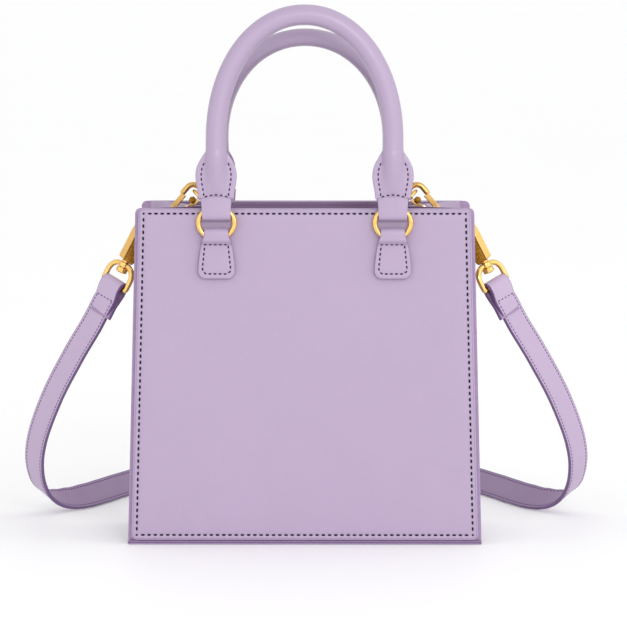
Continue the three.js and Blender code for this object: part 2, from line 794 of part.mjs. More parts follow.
function innerTabGeometry() {
  const { low } = innerRingFrame();
  const reach = innerRingWire / 2 + innerTabSlack + clearance + leatherThickness / 2;
  const foldUp = low.y + clearance;
  const base = foldUp - innerTabHeight;
  const steps = 8;
  const path = [
    [low.x - reach + leatherThickness + clearance, base],
    [low.x - reach + leatherThickness + clearance, base + innerTabHeight * 0.45],
    [low.x + reach, low.y - innerRingWire],
  ];
  for (let i = 0; i <= steps; i += 1) {
    const angle = (Math.PI * i) / steps;
    path.push([low.x + reach * Math.cos(angle), foldUp + reach * Math.sin(angle)]);
  }
  path.push([low.x - reach, base]);
  const half = innerTabWidth / 2;
  const place = (across, out, up) => onCrease(out, up).add(new THREE.Vector3(0, across, 0));
  return strip(path.map(([out, up]) => [out, up, half]), 0, leatherThickness, place);
}

// Left half of the strap, from its clasp to the middle behind the bag.
// out: share of strapSpread. back: share of strapReach. turn: degrees about its own line.
// lift: height of its lower edge as a share of the bar's height.
const strapRoute = [
  { out: 0.755, back: -0.02, lift: 0.815, turn: 37 },
  { out: 0.84, back: 0.055, lift: 0.655, turn: 35 },
  { out: 0.925, back: 0.14, lift: 0.478, turn: 35 },
  { out: 0.988, back: 0.222, lift: 0.3, turn: 38 },
  { out: 1.003, back: 0.262, lift: 0.205, turn: 44 },
  { out: 0.995, back: 0.3, lift: 0.12, turn: 56 },
  { out: 0.968, back: 0.33, lift: 0.062, turn: 76 },
  { out: 0.932, back: 0.357, lift: 0.026, turn: 101 },
  { out: 0.89, back: 0.388, lift: 0.006, turn: 126 },
  { out: 0.84, back: 0.435, lift: 0, turn: 144 },
  { out: 0.785, back: 0.515, lift: 0, turn: 150 },
  { out: 0.722, back: 0.63, lift: 0, turn: 150 },
  { out: 0.59, back: 0.812, lift: 0, turn: 156 },
  { out: 0.34, back: 0.955, lift: 0, turn: 166 },
];

function strapPoint({ out, back, lift }) {
  return new THREE.Vector3(-out * strapSpread, back * strapReach, lift * barCentre.z);
}

// How far the strap's lowest edge lies below its middle line.
function strapDrop(across, out) {
  return (Math.abs(across.z) * strapWidth + Math.abs(out.z) * strapThickness) / 2;
}

// Cross-section of the strap at a point, for its width and outward directions.
function strapRing(centre, across, out) {
  const side = across.clone().multiplyScalar(strapWidth / 2);
  const rise = out.clone().multiplyScalar(strapThickness / 2);
  return [
    centre.clone().sub(side).add(rise),
    centre.clone().add(side).add(rise),
    centre.clone().add(side).sub(rise),
    centre.clone().sub(side).sub(rise),
  ];
}

const strapFold = loopWire / 2 + clearance + strapThickness / 2;

// The folded tail behind the bar and the turn over it.
function strapEndRings() {
  const rings = [];
  const behind = barOut.clone().negate();
  const tailNear = -(strapThickness + clearance) / 2;
  const tail = [
    [strapTail, tailNear],
    [strapTail * 0.6, tailNear],
    [strapTail * 0.2, -strapFold],
  ];
  tail.forEach(([along, out]) => {
    const centre = barCentre.clone().addScaledVector(down, along).addScaledVector(barOut, out);
    rings.push(strapRing(centre, barAcross, behind));
  });
  const steps = 8;
  for (let i = 0; i <= steps; i += 1) {
    const angle = Math.PI - (Math.PI * i) / steps;
    const outward = barOut.clone().multiplyScalar(Math.cos(angle)).addScaledVector(down, -Math.sin(angle));
    rings.push(strapRing(barCentre.clone().addScaledVector(outward, strapFold), barAcross, outward));
  }
  return rings;
}

function strapMiddleRings() {
  const start = barCentre.clone().addScaledVector(barOut, strapFold);
  const first = start.clone().addScaledVector(down, strapTail * 0.2);
  const joined = barCentre.clone()
    .addScaledVector(down, strapTail * 0.6)
    .addScaledVector(barOut, (strapThickness + clearance) / 2);
  const endDrop = strapDrop(barAcross, barOut);
  const ends = [start, first, joined].map((point) => point.setZ(point.z - endDrop));
  const middle = strapPoint({ out: 0, back: 1, lift: 0 });
  const points = [...ends, ...strapRoute.map(strapPoint), middle];
  const turns = [loopTurn, loopTurn, loopTurn, ...strapRoute.map(({ turn }) => turn), 180];
  const flat = points.slice(0, -1).map((point) => point.clone().setX(-point.x)).reverse();
  const curve = new THREE.CatmullRomCurve3([...points, ...flat], false, "centripetal");
  const half = points.length - 1;
  const stepsEach = 5;
  const rings = [];
  for (let i = 1; i <= half * stepsEach; i += 1) {
    const t = i / stepsEach;
    const share = t / (2 * half);
    const index = Math.min(Math.floor(t), half - 1);
    const angle = THREE.MathUtils.degToRad(THREE.MathUtils.lerp(turns[index], turns[index + 1], t - index));
    const centre = curve.getPoint(share);
    const along = curve.getTangent(share);
    const sideways = along.clone().cross(new THREE.Vector3(0, 1, 0)).normalize();
    const facing = along.clone().cross(sideways);
    const across = sideways.clone().multiplyScalar(Math.cos(angle)).addScaledVector(facing, Math.sin(angle));
    const out = along.clone().cross(across);
    centre.z = Math.max(centre.z, 0) + strapDrop(across, out);
    rings.push(strapRing(centre, across, out));
  }
  return rings;
}

function strapGeometry() {
  const left = [...strapEndRings(), ...strapMiddleRings()];
  const other = left.slice(0, -1).map((ring) => ring.map((point) => point.clone().setX(-point.x))).reverse();
  return loft([...left, ...other]);
}

function addFace(name, lean, radius, isRear) {
  const face = new THREE.Group();
  face.rotation.z = isRear ? Math.PI : 0;
  addPiece(face, `${name}_panel`, panelGeometry(), leather);
  addPiece(face, `handle_${name}`, handleGeometry(lean, radius), leather);
  [-1, 1].forEach((side) => {
    const label = (side < 0) === isRear ? "right" : "left";
    const across = (side * handleSpacing) / 2;
    addPiece(face, `tab_${name}_${label}`, tabGeometry(across), leather);
    addPiece(face, `ring_${name}_${label}`, ringGeometry(across), metal);
    addPiece(face, `handle_loop_${name}_${label}`, loopGeometry(across, lean), leather);
  });
  root.add(face);
}

function addSide(label, side) {
  addPiece(root, `side_${label}`, sideGeometry(side), leather);
  const mirror = -side;
  addPiece(root, `inner_tab_${label}`, mirrored(innerTabGeometry(), mirror), leather);
  addPiece(root, `inner_ring_${label}`, mirrored(innerRingGeometry(), mirror), metal);
  addPiece(root, `clasp_${label}`, mirrored(claspBodyGeometry(), mirror), metal);
  addPiece(root, `clasp_gate_${label}`, mirrored(gateGeometry(), mirror), metal);
  addPiece(root, `strap_loop_${label}`, mirrored(strapLoopGeometry(), mirror), metal);
}

addPiece(root, "base_panel", loft([baseRing(0), baseRing(baseThickness)]), leather);
addFace("front", 0, handleRadius, false);
addFace("back", rearHandleLean, rearHandleRadius, true);
addSide("left", -1);
addSide("right", 1);
addPiece(root, "shoulder_strap", strapGeometry(), leather);

export default root;
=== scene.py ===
"""Looks of a small square leather tote bag: leather, stitches, brass fittings, floor and light.

Lengths are millimetres until a mesh is made. +X is to the viewer's right, +Y away from the
viewer, +Z up, and the front of the bag is towards -Y.
"""

import math

import bmesh
import bpy
import numpy as np
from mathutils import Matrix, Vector


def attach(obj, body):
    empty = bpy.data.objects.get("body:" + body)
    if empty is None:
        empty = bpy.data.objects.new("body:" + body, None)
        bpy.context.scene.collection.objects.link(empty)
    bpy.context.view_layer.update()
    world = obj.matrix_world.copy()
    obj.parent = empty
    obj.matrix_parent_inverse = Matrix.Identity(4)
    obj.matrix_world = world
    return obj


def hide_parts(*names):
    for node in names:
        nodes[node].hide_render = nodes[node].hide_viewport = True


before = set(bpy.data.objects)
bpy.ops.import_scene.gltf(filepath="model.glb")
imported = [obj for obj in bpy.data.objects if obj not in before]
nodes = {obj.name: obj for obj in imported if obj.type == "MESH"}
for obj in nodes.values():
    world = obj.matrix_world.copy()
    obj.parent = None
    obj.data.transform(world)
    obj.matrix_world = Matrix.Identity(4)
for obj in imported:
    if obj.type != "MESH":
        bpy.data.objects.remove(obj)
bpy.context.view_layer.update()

MM = 0.001

# Body, as in the CAD source
BODY_HEIGHT = 190.0
BASE_WIDTH = 200.0
TOP_WIDTH = 190.6
BASE_DEPTH = 85.0
TOP_DEPTH = 75.0
BASE_THICKNESS = 2.2
PANEL_THICKNESS = 2.4
SEAM_REVEAL = 1.9
SEAM_ALLOWANCE = 7.0
SIDE_THICKNESS = 1.8
FOLD_DEPTH = 29.5
FOLD_HEIGHT = 95.0
FOLD_FORWARD = 0.4
CLEARANCE = 0.3
PANEL_CORNER = 3.0

# Handles, loops, rings and tabs
HANDLE_SPACING = 99.0
HANDLE_RADIUS = 5.8
REAR_HANDLE_RADIUS = 5.0
HANDLE_TOP = 304.2
ARCH_FULLNESS = 2.05
PADDLE_WIDTH = 23.4
PADDLE_HEIGHT = 33.4
PADDLE_THICKNESS = 2.2
PADDLE_BOTTOM = 195.6
REAR_LEAN = 31.0
LEAN_START = 193.0
LEAN_END = 201.0
LEATHER = 1.3
RING_WIDTH = 23.0
RING_HEIGHT = 19.7
RING_WIRE = 2.7
RING_CENTRE = 182.0
RING_PLUMP = 0.2
LOOP_WIDTH = 16.2
LOOP_FOLD = 183.4
TAB_WIDTH = 20.9
TAB_FOLD = 179.0
TAB_BOTTOM = 150.6

INNER_LAYER = CLEARANCE + LEATHER / 2
FOLD_RADIUS = RING_WIRE / 2 + CLEARANCE + LEATHER / 2
RING_OUT = INNER_LAYER + FOLD_RADIUS
OUTER_LAYER = RING_OUT + FOLD_RADIUS
LAYER_STEP = LEATHER + CLEARANCE
TUBE_OUT = INNER_LAYER + 2 * LAYER_STEP + (PADDLE_THICKNESS + LEATHER) / 2

# Clasps
CLASP_SETBACK = 3.0
HELD_OUT = 6.2
HELD_RISE = 8.5
CLASP_ANGLE = math.radians(49.4)
CLASP_LENGTH = 60.6
HOOK_RADIUS = 4.5
HOOK_WIRE = 3.2
HOOK_STEP = 1.2
STEM_OUTER = 1.2
STEM_WIDTH = 3.2
INNER_RING_WIRE = 1.8
GATE_PIVOT_BACK = 9.6
GATE_PIVOT_IN = 3.2
GATE_THICKNESS = 2.4
GATE_LENGTH = 8.1
GATE_WIDTH = 2.0
LUG_RADIUS = 2.1
STUD_HEIGHT = 3.4
STUD_RADIUS = 2.0
STUD_SHARE = 0.77
STUD_IN = 0.8
STUD_SIDES = 7
POST_ANGLE = math.radians(63)
POST_RADIUS = 1.7
BOSS_START = 1.2
BOSS_WALL = 1.5
HEAD_RADIUS = 3.0
HEAD_HEIGHT = 2.4
LOOP_WIRE = 2.8
LOOP_PLUMP = 0.4
LOOP_INNER_WIDTH = 15.8
LOOP_HEIGHT = 12.6
LOOP_TURN = math.radians(38)

# Inner ring and tab, strap
INNER_RING_RISE = 1.0
INNER_TAB_WIDTH = 5.0
INNER_TAB_HEIGHT = 16.0
INNER_TAB_SLACK = 0.6
STRAP_WIDTH = 15.4
STRAP_THICKNESS = 2.2
STRAP_SPREAD = 160.6
STRAP_REACH = 233.0
STRAP_TAIL = 19.0

# Stitches
PANEL_STITCH = dict(inset=3.0, pitch=3.5, length=2.2, width=1.1)
TAB_STITCH = dict(pitch=2.8, length=1.85, width=0.95)
HANDLE_STITCH = dict(pitch=2.9, length=1.9, width=0.85)
STRAP_STITCH = dict(inset=1.75, pitch=2.6, length=1.75, width=0.75)

X = np.array([1.0, 0.0, 0.0])
Y = np.array([0.0, 1.0, 0.0])
Z = np.array([0.0, 0.0, 1.0])
MIRROR_X = np.array([-1.0, 1.0, 1.0])
TURN_ROUND = np.array([-1.0, -1.0, 1.0])
PANEL_LEAN = math.atan((BASE_DEPTH - TOP_DEPTH) / 2 / BODY_HEIGHT)


def lerp(a, b, t):
    return a + (b - a) * t


def half_width(z):
    return lerp(BASE_WIDTH, TOP_WIDTH, z / BODY_HEIGHT) / 2


def half_depth(z):
    return lerp(BASE_DEPTH, TOP_DEPTH, z / BODY_HEIGHT) / 2


def unit(v):
    v = np.asarray(v, float)
    return v / np.maximum(np.linalg.norm(v, axis=-1, keepdims=True), 1e-12)


# Materials


class Nodes:
    """A material's node tree with short calls to add and join nodes."""

    def __init__(self, name):
        self.material = bpy.data.materials.new(name)
        self.material.use_nodes = True
        self.tree = self.material.node_tree
        self.shader = self.tree.nodes["Principled BSDF"]
        self.place = self.tree.nodes.new("ShaderNodeTexCoord").outputs["Object"]

    def add(self, kind, inputs=None, **settings):
        node = self.tree.nodes.new(kind)
        for key, value in settings.items():
            setattr(node, key, value)
        for key, value in (inputs or {}).items():
            self.put(value, node.inputs[key])
        return node

    def put(self, value, socket):
        if isinstance(value, bpy.types.NodeSocket):
            self.tree.links.new(value, socket)
        else:
            socket.default_value = value

    def noise(self, scale, detail=3.0, roughness=0.5, place=None):
        inputs = {"Vector": place or self.place, "Scale": scale, "Detail": detail,
                  "Roughness": roughness}
        return self.add("ShaderNodeTexNoise", inputs).outputs["Fac"]

    def ramp(self, value, stops):
        node = self.add("ShaderNodeValToRGB", {"Fac": value})
        elements = node.color_ramp.elements
        while len(elements) < len(stops):
            elements.new(0.5)
        for element, (at, colour) in zip(elements, stops):
            element.position = at
            element.color = (*colour, 1)
        return node.outputs["Color"]

    def spread(self, value, low, high):
        inputs = {"Value": value, "To Min": low, "To Max": high}
        return self.add("ShaderNodeMapRange", inputs).outputs["Result"]

    def bump(self, height, distance, strength=1.0, under=None):
        inputs = {"Height": height, "Distance": distance, "Strength": strength}
        if under is not None:
            inputs["Normal"] = under
        return self.add("ShaderNodeBump", inputs).outputs["Normal"]

    def set(self, **values):
        names = {"colour": "Base Color", "roughness": "Roughness", "normal": "Normal",
                 "metallic": "Metallic", "coat": "Coat Weight", "coat_rough": "Coat Roughness",
                 "sheen": "Sheen Weight", "specular": "Specular IOR Level"}
        for key, value in values.items():
            self.put(value, self.shader.inputs[names[key]])
        return self.material


def shade(colour, factor):
    return tuple(min(1.0, c * factor) for c in colour)


def leather_look(name, colour, rough=(0.40, 0.52), grain=0.00006, variation=0.012, coat=0.12):
    """Smooth calf leather: fine grain and pores, with slight changes of colour and gloss."""
    n = Nodes(name)
    cloud = n.noise(38.0, 3.0)
    colours = n.ramp(cloud, [(0.3, shade(colour, 1 - variation)), (0.7, shade(colour, 1 + variation))])
    cells = n.add("ShaderNodeTexVoronoi", {"Vector": n.place, "Scale": 1500.0, "Randomness": 1.0},
                  feature="DISTANCE_TO_EDGE").outputs["Distance"]
    creases = n.add("ShaderNodeMapRange", {"Value": cells, "From Max": 0.22}).outputs["Result"]
    soft = n.noise(170.0, 4.0)
    relief = n.bump(creases, grain, 0.55, n.bump(soft, grain * 3, 0.4))
    return n.set(colour=colours, roughness=n.spread(n.noise(260.0, 2.0), *rough), normal=relief,
                 coat=coat, coat_rough=0.25)


def edge_paint(name, colour):
    """Thick edge paint with a slightly uneven gloss."""
    n = Nodes(name)
    wave = n.noise(420.0, 2.0)
    colours = n.ramp(wave, [(0.3, shade(colour, 0.92)), (0.7, shade(colour, 1.06))])
    return n.set(colour=colours, roughness=n.spread(wave, 0.32, 0.48), normal=n.bump(wave, 0.0001, 0.5))


def thread_look(name, colour):
    """Twisted polyester thread."""
    n = Nodes(name)
    turns = n.add("ShaderNodeTexWave", {"Vector": n.place, "Scale": 900.0, "Distortion": 1.5},
                  bands_direction="DIAGONAL").outputs["Fac"]
    colours = n.ramp(turns, [(0.2, shade(colour, 0.75)), (0.8, shade(colour, 1.25))])
    return n.set(colour=colours, roughness=0.75, normal=n.bump(turns, 0.00008, 0.6), specular=0.15)


def brass_look(name, colour, rough, along=None, speckle=0.0):
    """Plated brass, polished or brushed along a direction."""
    n = Nodes(name)
    if along is None:
        lines = n.noise(700.0, 3.0)
        relief = n.bump(lines, 0.00002, 0.3)
    else:
        turned = n.add("ShaderNodeMapping", {"Vector": n.place, "Rotation": (0, along, 0),
                                             "Scale": (60.0, 2600.0, 2600.0)}).outputs["Vector"]
        lines = n.noise(1.0, 4.0, 0.6, place=turned)
        relief = n.bump(lines, 0.00003, 0.35)
    spots = n.noise(900.0, 4.0, 0.7)
    low = shade(colour, 1 - 0.05 - speckle)
    colours = n.ramp(spots, [(0.38, low), (0.62, shade(colour, 1.03 + speckle))])
    return n.set(colour=colours, metallic=1.0, roughness=n.spread(lines, *rough), normal=relief)


def lining_look(name, colour):
    """Fine woven lining."""
    n = Nodes(name)
    threads = [
        n.add("ShaderNodeTexWave", {"Vector": n.place, "Scale": 260.0, "Distortion": 0.4},
              bands_direction=axis).outputs["Fac"]
        for axis in ("X", "Z")
    ]
    weave = n.add("ShaderNodeMath", {0: threads[0], 1: threads[1]}, operation="MULTIPLY").outputs[0]
    colours = n.ramp(weave, [(0.1, shade(colour, 0.86)), (0.8, shade(colour, 1.08))])
    return n.set(colour=colours, roughness=0.8, normal=n.bump(weave, 0.0001, 0.5), sheen=0.3)


LILAC = (0.396, 0.306, 0.446)
body_leather = leather_look("body_leather", LILAC)
handle_leather = leather_look("handle_leather", LILAC, rough=(0.28, 0.36), coat=0.2)
# The strap's outer face takes a lighter copy of the lilac leather as painted light.
strap_leather = leather_look("strap_leather", (0.465, 0.36, 0.515), rough=(0.36, 0.46))
# The strap's inner face takes a darker copy of the lilac leather as painted shade.
painted_shade_strap_inside = leather_look("painted_shade_strap_inside_leather", (0.30, 0.205, 0.345), rough=(0.45, 0.55))
# The inside of the bag takes a dark copy of the lilac leather as painted shade.
painted_shade_inner_leather = leather_look("painted_shade_inner_leather", (0.22, 0.135, 0.255), rough=(0.5, 0.6))
# Edge paint on the side's flange strip, darkened further as painted shade.
side_edge_paint_and_shade = edge_paint("side_edge_paint_and_shade", (0.32, 0.22, 0.38))
paint = edge_paint("edge_paint", (0.27, 0.165, 0.34))
dark_paint = edge_paint("strap_edge_paint", (0.15, 0.08, 0.21))
dark_thread = thread_look("dark_thread", (0.010, 0.004, 0.020))
mid_thread = thread_look("tab_thread", (0.022, 0.010, 0.042))
strap_thread = thread_look("strap_thread", (0.14, 0.075, 0.20))
gold = brass_look("polished_gold", (0.90, 0.58, 0.19), (0.10, 0.20))
brushed_gold = brass_look("brushed_gold", (0.70, 0.44, 0.15), (0.24, 0.38), along=CLASP_ANGLE)
# A darkened gold that stands in for dark reflections and shade: painted dark reflection.
painted_dark_reflection_gold = brass_look("painted_dark_reflection_gold", (0.36, 0.17, 0.025), (0.25, 0.45), speckle=0.3)
lining = lining_look("lining", (0.22, 0.15, 0.27))


# Meshes


def piece(name, points, faces, looks, replaced=(), body="bag", face_looks=None, sharp=38.0):
    """One closed mesh that rides on a body and may stand for CAD nodes."""
    mesh = bpy.data.meshes.new(name)
    mesh.from_pydata((np.asarray(points, float) * MM).tolist(), [], faces)
    for look in looks:
        mesh.materials.append(look)
    if face_looks is not None:
        mesh.polygons.foreach_set("material_index", np.asarray(face_looks, np.int32))
    work = bmesh.new()
    work.from_mesh(mesh)
    bmesh.ops.recalc_face_normals(work, faces=work.faces)
    work.to_mesh(mesh)
    work.free()
    mesh.polygons.foreach_set("use_smooth", [True] * len(mesh.polygons))
    mesh.set_sharp_from_angle(angle=math.radians(sharp))
    made = bpy.data.objects.new(name, mesh)
    bpy.context.scene.collection.objects.link(made)
    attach(made, body)
    if replaced:
        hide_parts(*replaced)


def ring_faces(count, size, closed=False):
    """Quads between rings of points, with n-gons over the two ends of an open run."""
    faces = []
    spans = count if closed else count - 1
    for r in range(spans):
        near = r * size
        far = ((r + 1) % count) * size
        for i in range(size):
            j = (i + 1) % size
            faces.append((near + i, near + j, far + j, far + i))
    if not closed:
        faces.append(tuple(reversed(range(size))))
        faces.append(tuple((count - 1) * size + i for i in range(size)))
    return faces


def join_parts(parts):
    """Points and faces of several meshes as one."""
    points, faces, offset = [], [], 0
    for part_points, part_faces in parts:
        part_points = np.asarray(part_points, float).reshape(-1, 3)
        points.append(part_points)
        faces += [tuple(i + offset for i in face) for face in part_faces]
        offset += len(part_points)
    return np.concatenate(points), faces


def turned_part(profile, origin, axis, sides=32):
    """A turned solid: profile of (distance along the axis, radius) between two closed ends."""
    axis = unit(axis)
    first = unit(np.cross(axis, Y if abs(axis[1]) < 0.9 else X))
    second = np.cross(axis, first)
    angles = np.arange(sides) * 2 * math.pi / sides
    circle = np.cos(angles)[:, None] * first + np.sin(angles)[:, None] * second
    rings = [np.asarray(origin) + axis * along + circle * radius for along, radius in profile]
    return np.concatenate(rings), ring_faces(len(profile), sides)


def rounded_profile(length, radius, edge, steps=4):
    """Profile of a cylinder with rounded rims, from 0 to its length."""
    rim = [math.pi / 2 * i / steps for i in range(steps + 1)]
    near = [(edge - edge * math.cos(a), radius - edge + edge * math.sin(a)) for a in rim]
    far = [(length - along, r) for along, r in reversed(near)]
    return near + far


def swept(points, wire, sides, flat_normal):
    """Round wire along a closed flat path, whose plane has the given normal."""
    along = unit(np.roll(points, -1, 0) - np.roll(points, 1, 0))
    normal = np.tile(flat_normal, (len(points), 1))
    across = unit(np.cross(along, normal))
    angles = (np.arange(sides) + 0.5) * 2 * math.pi / sides
    ring = (np.cos(angles)[None, :, None] * across[:, None]
            + np.sin(angles)[None, :, None] * normal[:, None])
    return (points[:, None] + ring * wire / 2).reshape(-1, 3), ring_faces(len(points), sides, closed=True)


def smooth_table(rows, keys, at):
    """Columns of a short table, joined by smooth curves without overshoot."""
    xs = np.array([row[keys[0]] for row in rows], float)
    at = np.asarray(at, float)
    columns = []
    for key in keys[1:]:
        ys = np.array([row[key] for row in rows], float)
        step = np.diff(xs)
        rise = np.diff(ys) / step
        slope = np.empty_like(ys)
        slope[0], slope[-1] = rise[0], rise[-1]
        same = rise[:-1] * rise[1:] > 0
        mean = 2 * rise[:-1] * rise[1:] / np.where(same, rise[:-1] + rise[1:], 1)
        slope[1:-1] = np.where(same, mean, 0)
        k = np.clip(np.searchsorted(xs, at, "right") - 1, 0, len(step) - 1)
        t = (at - xs[k]) / step[k]
        h = step[k]
        value = ((1 + 2 * t) * (1 - t) ** 2 * ys[k] + t * (1 - t) ** 2 * h * slope[k]
                 + t * t * (3 - 2 * t) * ys[k + 1] - t * t * (1 - t) * h * slope[k + 1])
        columns.append(value)
    return columns


# Stitches


def stitch_mesh(centres, along, normals, length, width, sides=6):
    """Short plump threads that dive into the leather at both ends."""
    centres, along, normals = (np.asarray(v, float) for v in (centres, along, normals))
    along, normals = unit(along), unit(normals)
    across = unit(np.cross(normals, along))
    stations = [(-0.5, 0.35, -0.30), (-0.38, 0.85, -0.02), (0.0, 1.0, 0.06), (0.38, 0.85, -0.02),
                (0.5, 0.35, -0.30)]
    angles = (np.arange(sides) + 0.5) * 2 * math.pi / sides
    points, size = [], len(stations) * sides
    for share, thick, sink in stations:
        middle = centres + along * share * length + normals * (sink * width)
        ring = (np.cos(angles)[None, :, None] * across[:, None]
                + np.sin(angles)[None, :, None] * normals[:, None] * 0.75)
        points.append(middle[:, None] + ring * width / 2 * thick)
    points = np.stack(points, 1).reshape(-1, 3)
    one = ring_faces(len(stations), sides)
    faces = [tuple(i + k * size for i in face) for k in range(len(centres)) for face in one]
    return points, faces


def along_line(points, pitch, from_corner=False):
    """Places at an even pitch on a polyline: positions and directions."""
    points = np.asarray(points, float)
    gaps = np.linalg.norm(np.diff(points, axis=0), axis=1)
    reach = np.concatenate([[0], np.cumsum(gaps)])
    count = max(1, round(reach[-1] / pitch))
    spots = (np.arange(count) + (0.0 if from_corner else 0.5)) * reach[-1] / count
    found = np.stack([np.interp(spots, reach, points[:, i]) for i in range(points.shape[1])], 1)
    ahead = np.stack([np.interp(spots + 0.2, reach, points[:, i]) for i in range(points.shape[1])], 1)
    behind = np.stack([np.interp(spots - 0.2, reach, points[:, i]) for i in range(points.shape[1])], 1)
    return found, unit(ahead - behind)


def surface_stitches(line, stitch, surface, sink=0.0):
    """Stitches along a 2-D line of a surface that takes (u, v) to a point in space."""
    small = 0.05
    spots, ways = along_line(line, stitch["pitch"])
    here = surface(spots[:, 0], spots[:, 1])
    du = surface(spots[:, 0] + small, spots[:, 1]) - here
    dv = surface(spots[:, 0], spots[:, 1] + small) - here
    normals = unit(np.cross(du, dv))
    directions = ways[:, :1] * du + ways[:, 1:] * dv
    return stitch_mesh(here - normals * sink, directions, normals, stitch["length"], stitch["width"])


# Panels


def corner_points(low, high, bottom, top, inset):
    """Corners of a trapezoid with every side moved in by an inset."""
    corners = np.array([[-low, bottom], [low, bottom], [high, top], [-high, top]], float)
    ways = unit(np.roll(corners, -1, 0) - corners)
    inward = np.stack([-ways[:, 1], ways[:, 0]], 1)
    starts = corners + inward * inset
    moved = []
    for i in range(4):
        before = (i - 1) % 4
        basis = np.array([ways[before], -ways[i]]).T
        share = np.linalg.solve(basis, starts[i] - starts[before])
        moved.append(starts[before] + ways[before] * share[0])
    return np.array(moved)


def outline(low, high, bottom, top, corner, inset, step, corner_steps=6):
    """Rounded outline at an inset, with the same points in the same order at every inset."""
    corners = corner_points(low, high, bottom, top, inset)
    full = corner_points(low, high, bottom, top, 0)
    radius = max(corner - inset, 0.25)
    arcs = []
    for i in range(4):
        to_before = unit(corners[i - 1] - corners[i])
        to_after = unit(corners[(i + 1) % 4] - corners[i])
        half = math.acos(float(np.clip(np.dot(to_before, to_after), -1, 1))) / 2
        centre = corners[i] + unit(to_before + to_after) * radius / math.sin(half)
        first = corners[i] + to_before * radius / math.tan(half) - centre
        last = corners[i] + to_after * radius / math.tan(half) - centre
        turns = np.linspace(0, 1, corner_steps + 1)[:, None]
        arcs.append(centre + unit(lerp(first, last, turns)) * radius)
    points = []
    for i in range(4):
        points.append(arcs[i])
        after = arcs[(i + 1) % 4][0]
        count = max(2, round(float(np.linalg.norm(full[(i + 1) % 4] - full[i])) / step))
        shares = (np.arange(1, count) / count)[:, None]
        points.append(lerp(arcs[i][-1], after, shares))
    return np.concatenate(points)


def stitch_phase(points, corners, pitch):
    """How near each point is to the middle of a stitch, 0 at a hole and 1 at the middle."""
    best = np.full(len(points), 1e9)
    phase = np.zeros(len(points))
    for i in range(4):
        start, end = corners[i], corners[(i + 1) % 4]
        way = unit(end - start)
        length = float(np.linalg.norm(end - start))
        reach = (points - start) @ way
        off = np.abs((points - start) @ np.array([-way[1], way[0]]))
        off = off + np.maximum(0, -reach) + np.maximum(0, reach - length)
        count = max(1, round(length / pitch))
        wave = 0.5 + 0.5 * np.cos(2 * math.pi * reach * count / length)
        closer = off < best
        phase[closer] = wave[closer]
        best = np.minimum(best, off)
    return phase


# Face of a plate from its edge inwards: depth of the groove and share of the puffed rise
PLATE_FACE = [
    dict(inset=1.5, sunk=0.1, rise=0.10),
    dict(inset=2.1, sunk=0.35, rise=0.10),
    dict(inset=2.55, sunk=0.8, rise=0.06),
    dict(inset=3.0, sunk=1.0, rise=0.0),
    dict(inset=3.45, sunk=0.8, rise=0.06),
    dict(inset=3.95, sunk=0.35, rise=0.12),
    dict(inset=4.8, sunk=0.08, rise=0.2),
    dict(inset=7.0, sunk=0.0, rise=0.27),
    dict(inset=11.0, sunk=0.0, rise=0.31),
    dict(inset=17.0, sunk=0.0, rise=0.33),
]
PLATE_RIM = 0.75
PLATE_PUFF = 0.25
STITCH_GROOVE = 0.17
STITCH_DIP = 0.16


def plate(low, high, bottom, top, thickness, corner, step, stitched, puff):
    """A stiff leather plate, with a stitched line sunk in its front if asked.

    Known fault: the rows of each rim run from its inner end out to the edge, so the section
    folds back on itself between the face and the edge. Reversing both arcs would mend it.

    Gives points as (across, height out of the front face, along), faces and face kinds:
    0 front leather, 1 painted edge, 2 back.
    """
    rim = PLATE_RIM
    inset, pitch = PANEL_STITCH["inset"], PANEL_STITCH["pitch"]
    line = corner_points(low, high, bottom, top, inset)
    phase = stitch_phase(outline(low, high, bottom, top, corner, inset, step), line, pitch)
    arc = np.linspace(0, math.pi / 2, 5)

    def face_rings(is_stitched):
        rings = [(rim * (1 - math.sin(a)), rim * (math.cos(a) - 1), 0.0) for a in arc]
        depth = STITCH_GROOVE if is_stitched else 0.0
        for row in PLATE_FACE:
            height = puff * row["rise"] / PLATE_FACE[-1]["rise"] - depth * row["sunk"]
            rings.append((row["inset"], height, row["sunk"] * is_stitched))
        return rings

    # Each row: inset, height out of the front face, share of the stitch's own dip.
    front = face_rings(stitched)
    back = face_rings(False)
    rows = front[::-1] + [(d, -thickness - h, -s) for d, h, s in back]
    rings = []
    for d, height, dip in rows:
        flat = outline(low, high, bottom, top, corner, d, step)
        sink = STITCH_DIP * dip * phase
        rings.append(np.stack([flat[:, 0], height - sink, flat[:, 1]], 1))
    size = len(rings[0])
    points = np.concatenate(rings)
    faces = ring_faces(len(rings), size)
    kinds = []
    rim_rows = len(arc)
    for r in range(len(rings) - 1):
        if r < len(front) - 2:
            kind = 0
        elif r < len(front) + rim_rows - 2:
            kind = 1
        else:
            kind = 2
        kinds += [kind] * size
    kinds += [0, 2]
    stitches = [np.stack([line[i], line[(i + 1) % 4]]) for i in range(4)]
    return points, faces, kinds, stitches


def panel_place(points, rear=False):
    """From a panel's own plane to the leaning front or back of the bag."""
    across, out, along = points[..., 0], points[..., 1], points[..., 2]
    y = -BASE_DEPTH / 2 + along * math.sin(PANEL_LEAN) - out * math.cos(PANEL_LEAN)
    z = along * math.cos(PANEL_LEAN) + out * math.sin(PANEL_LEAN)
    placed = np.stack([across, y, z], -1)
    return placed * TURN_ROUND if rear else placed


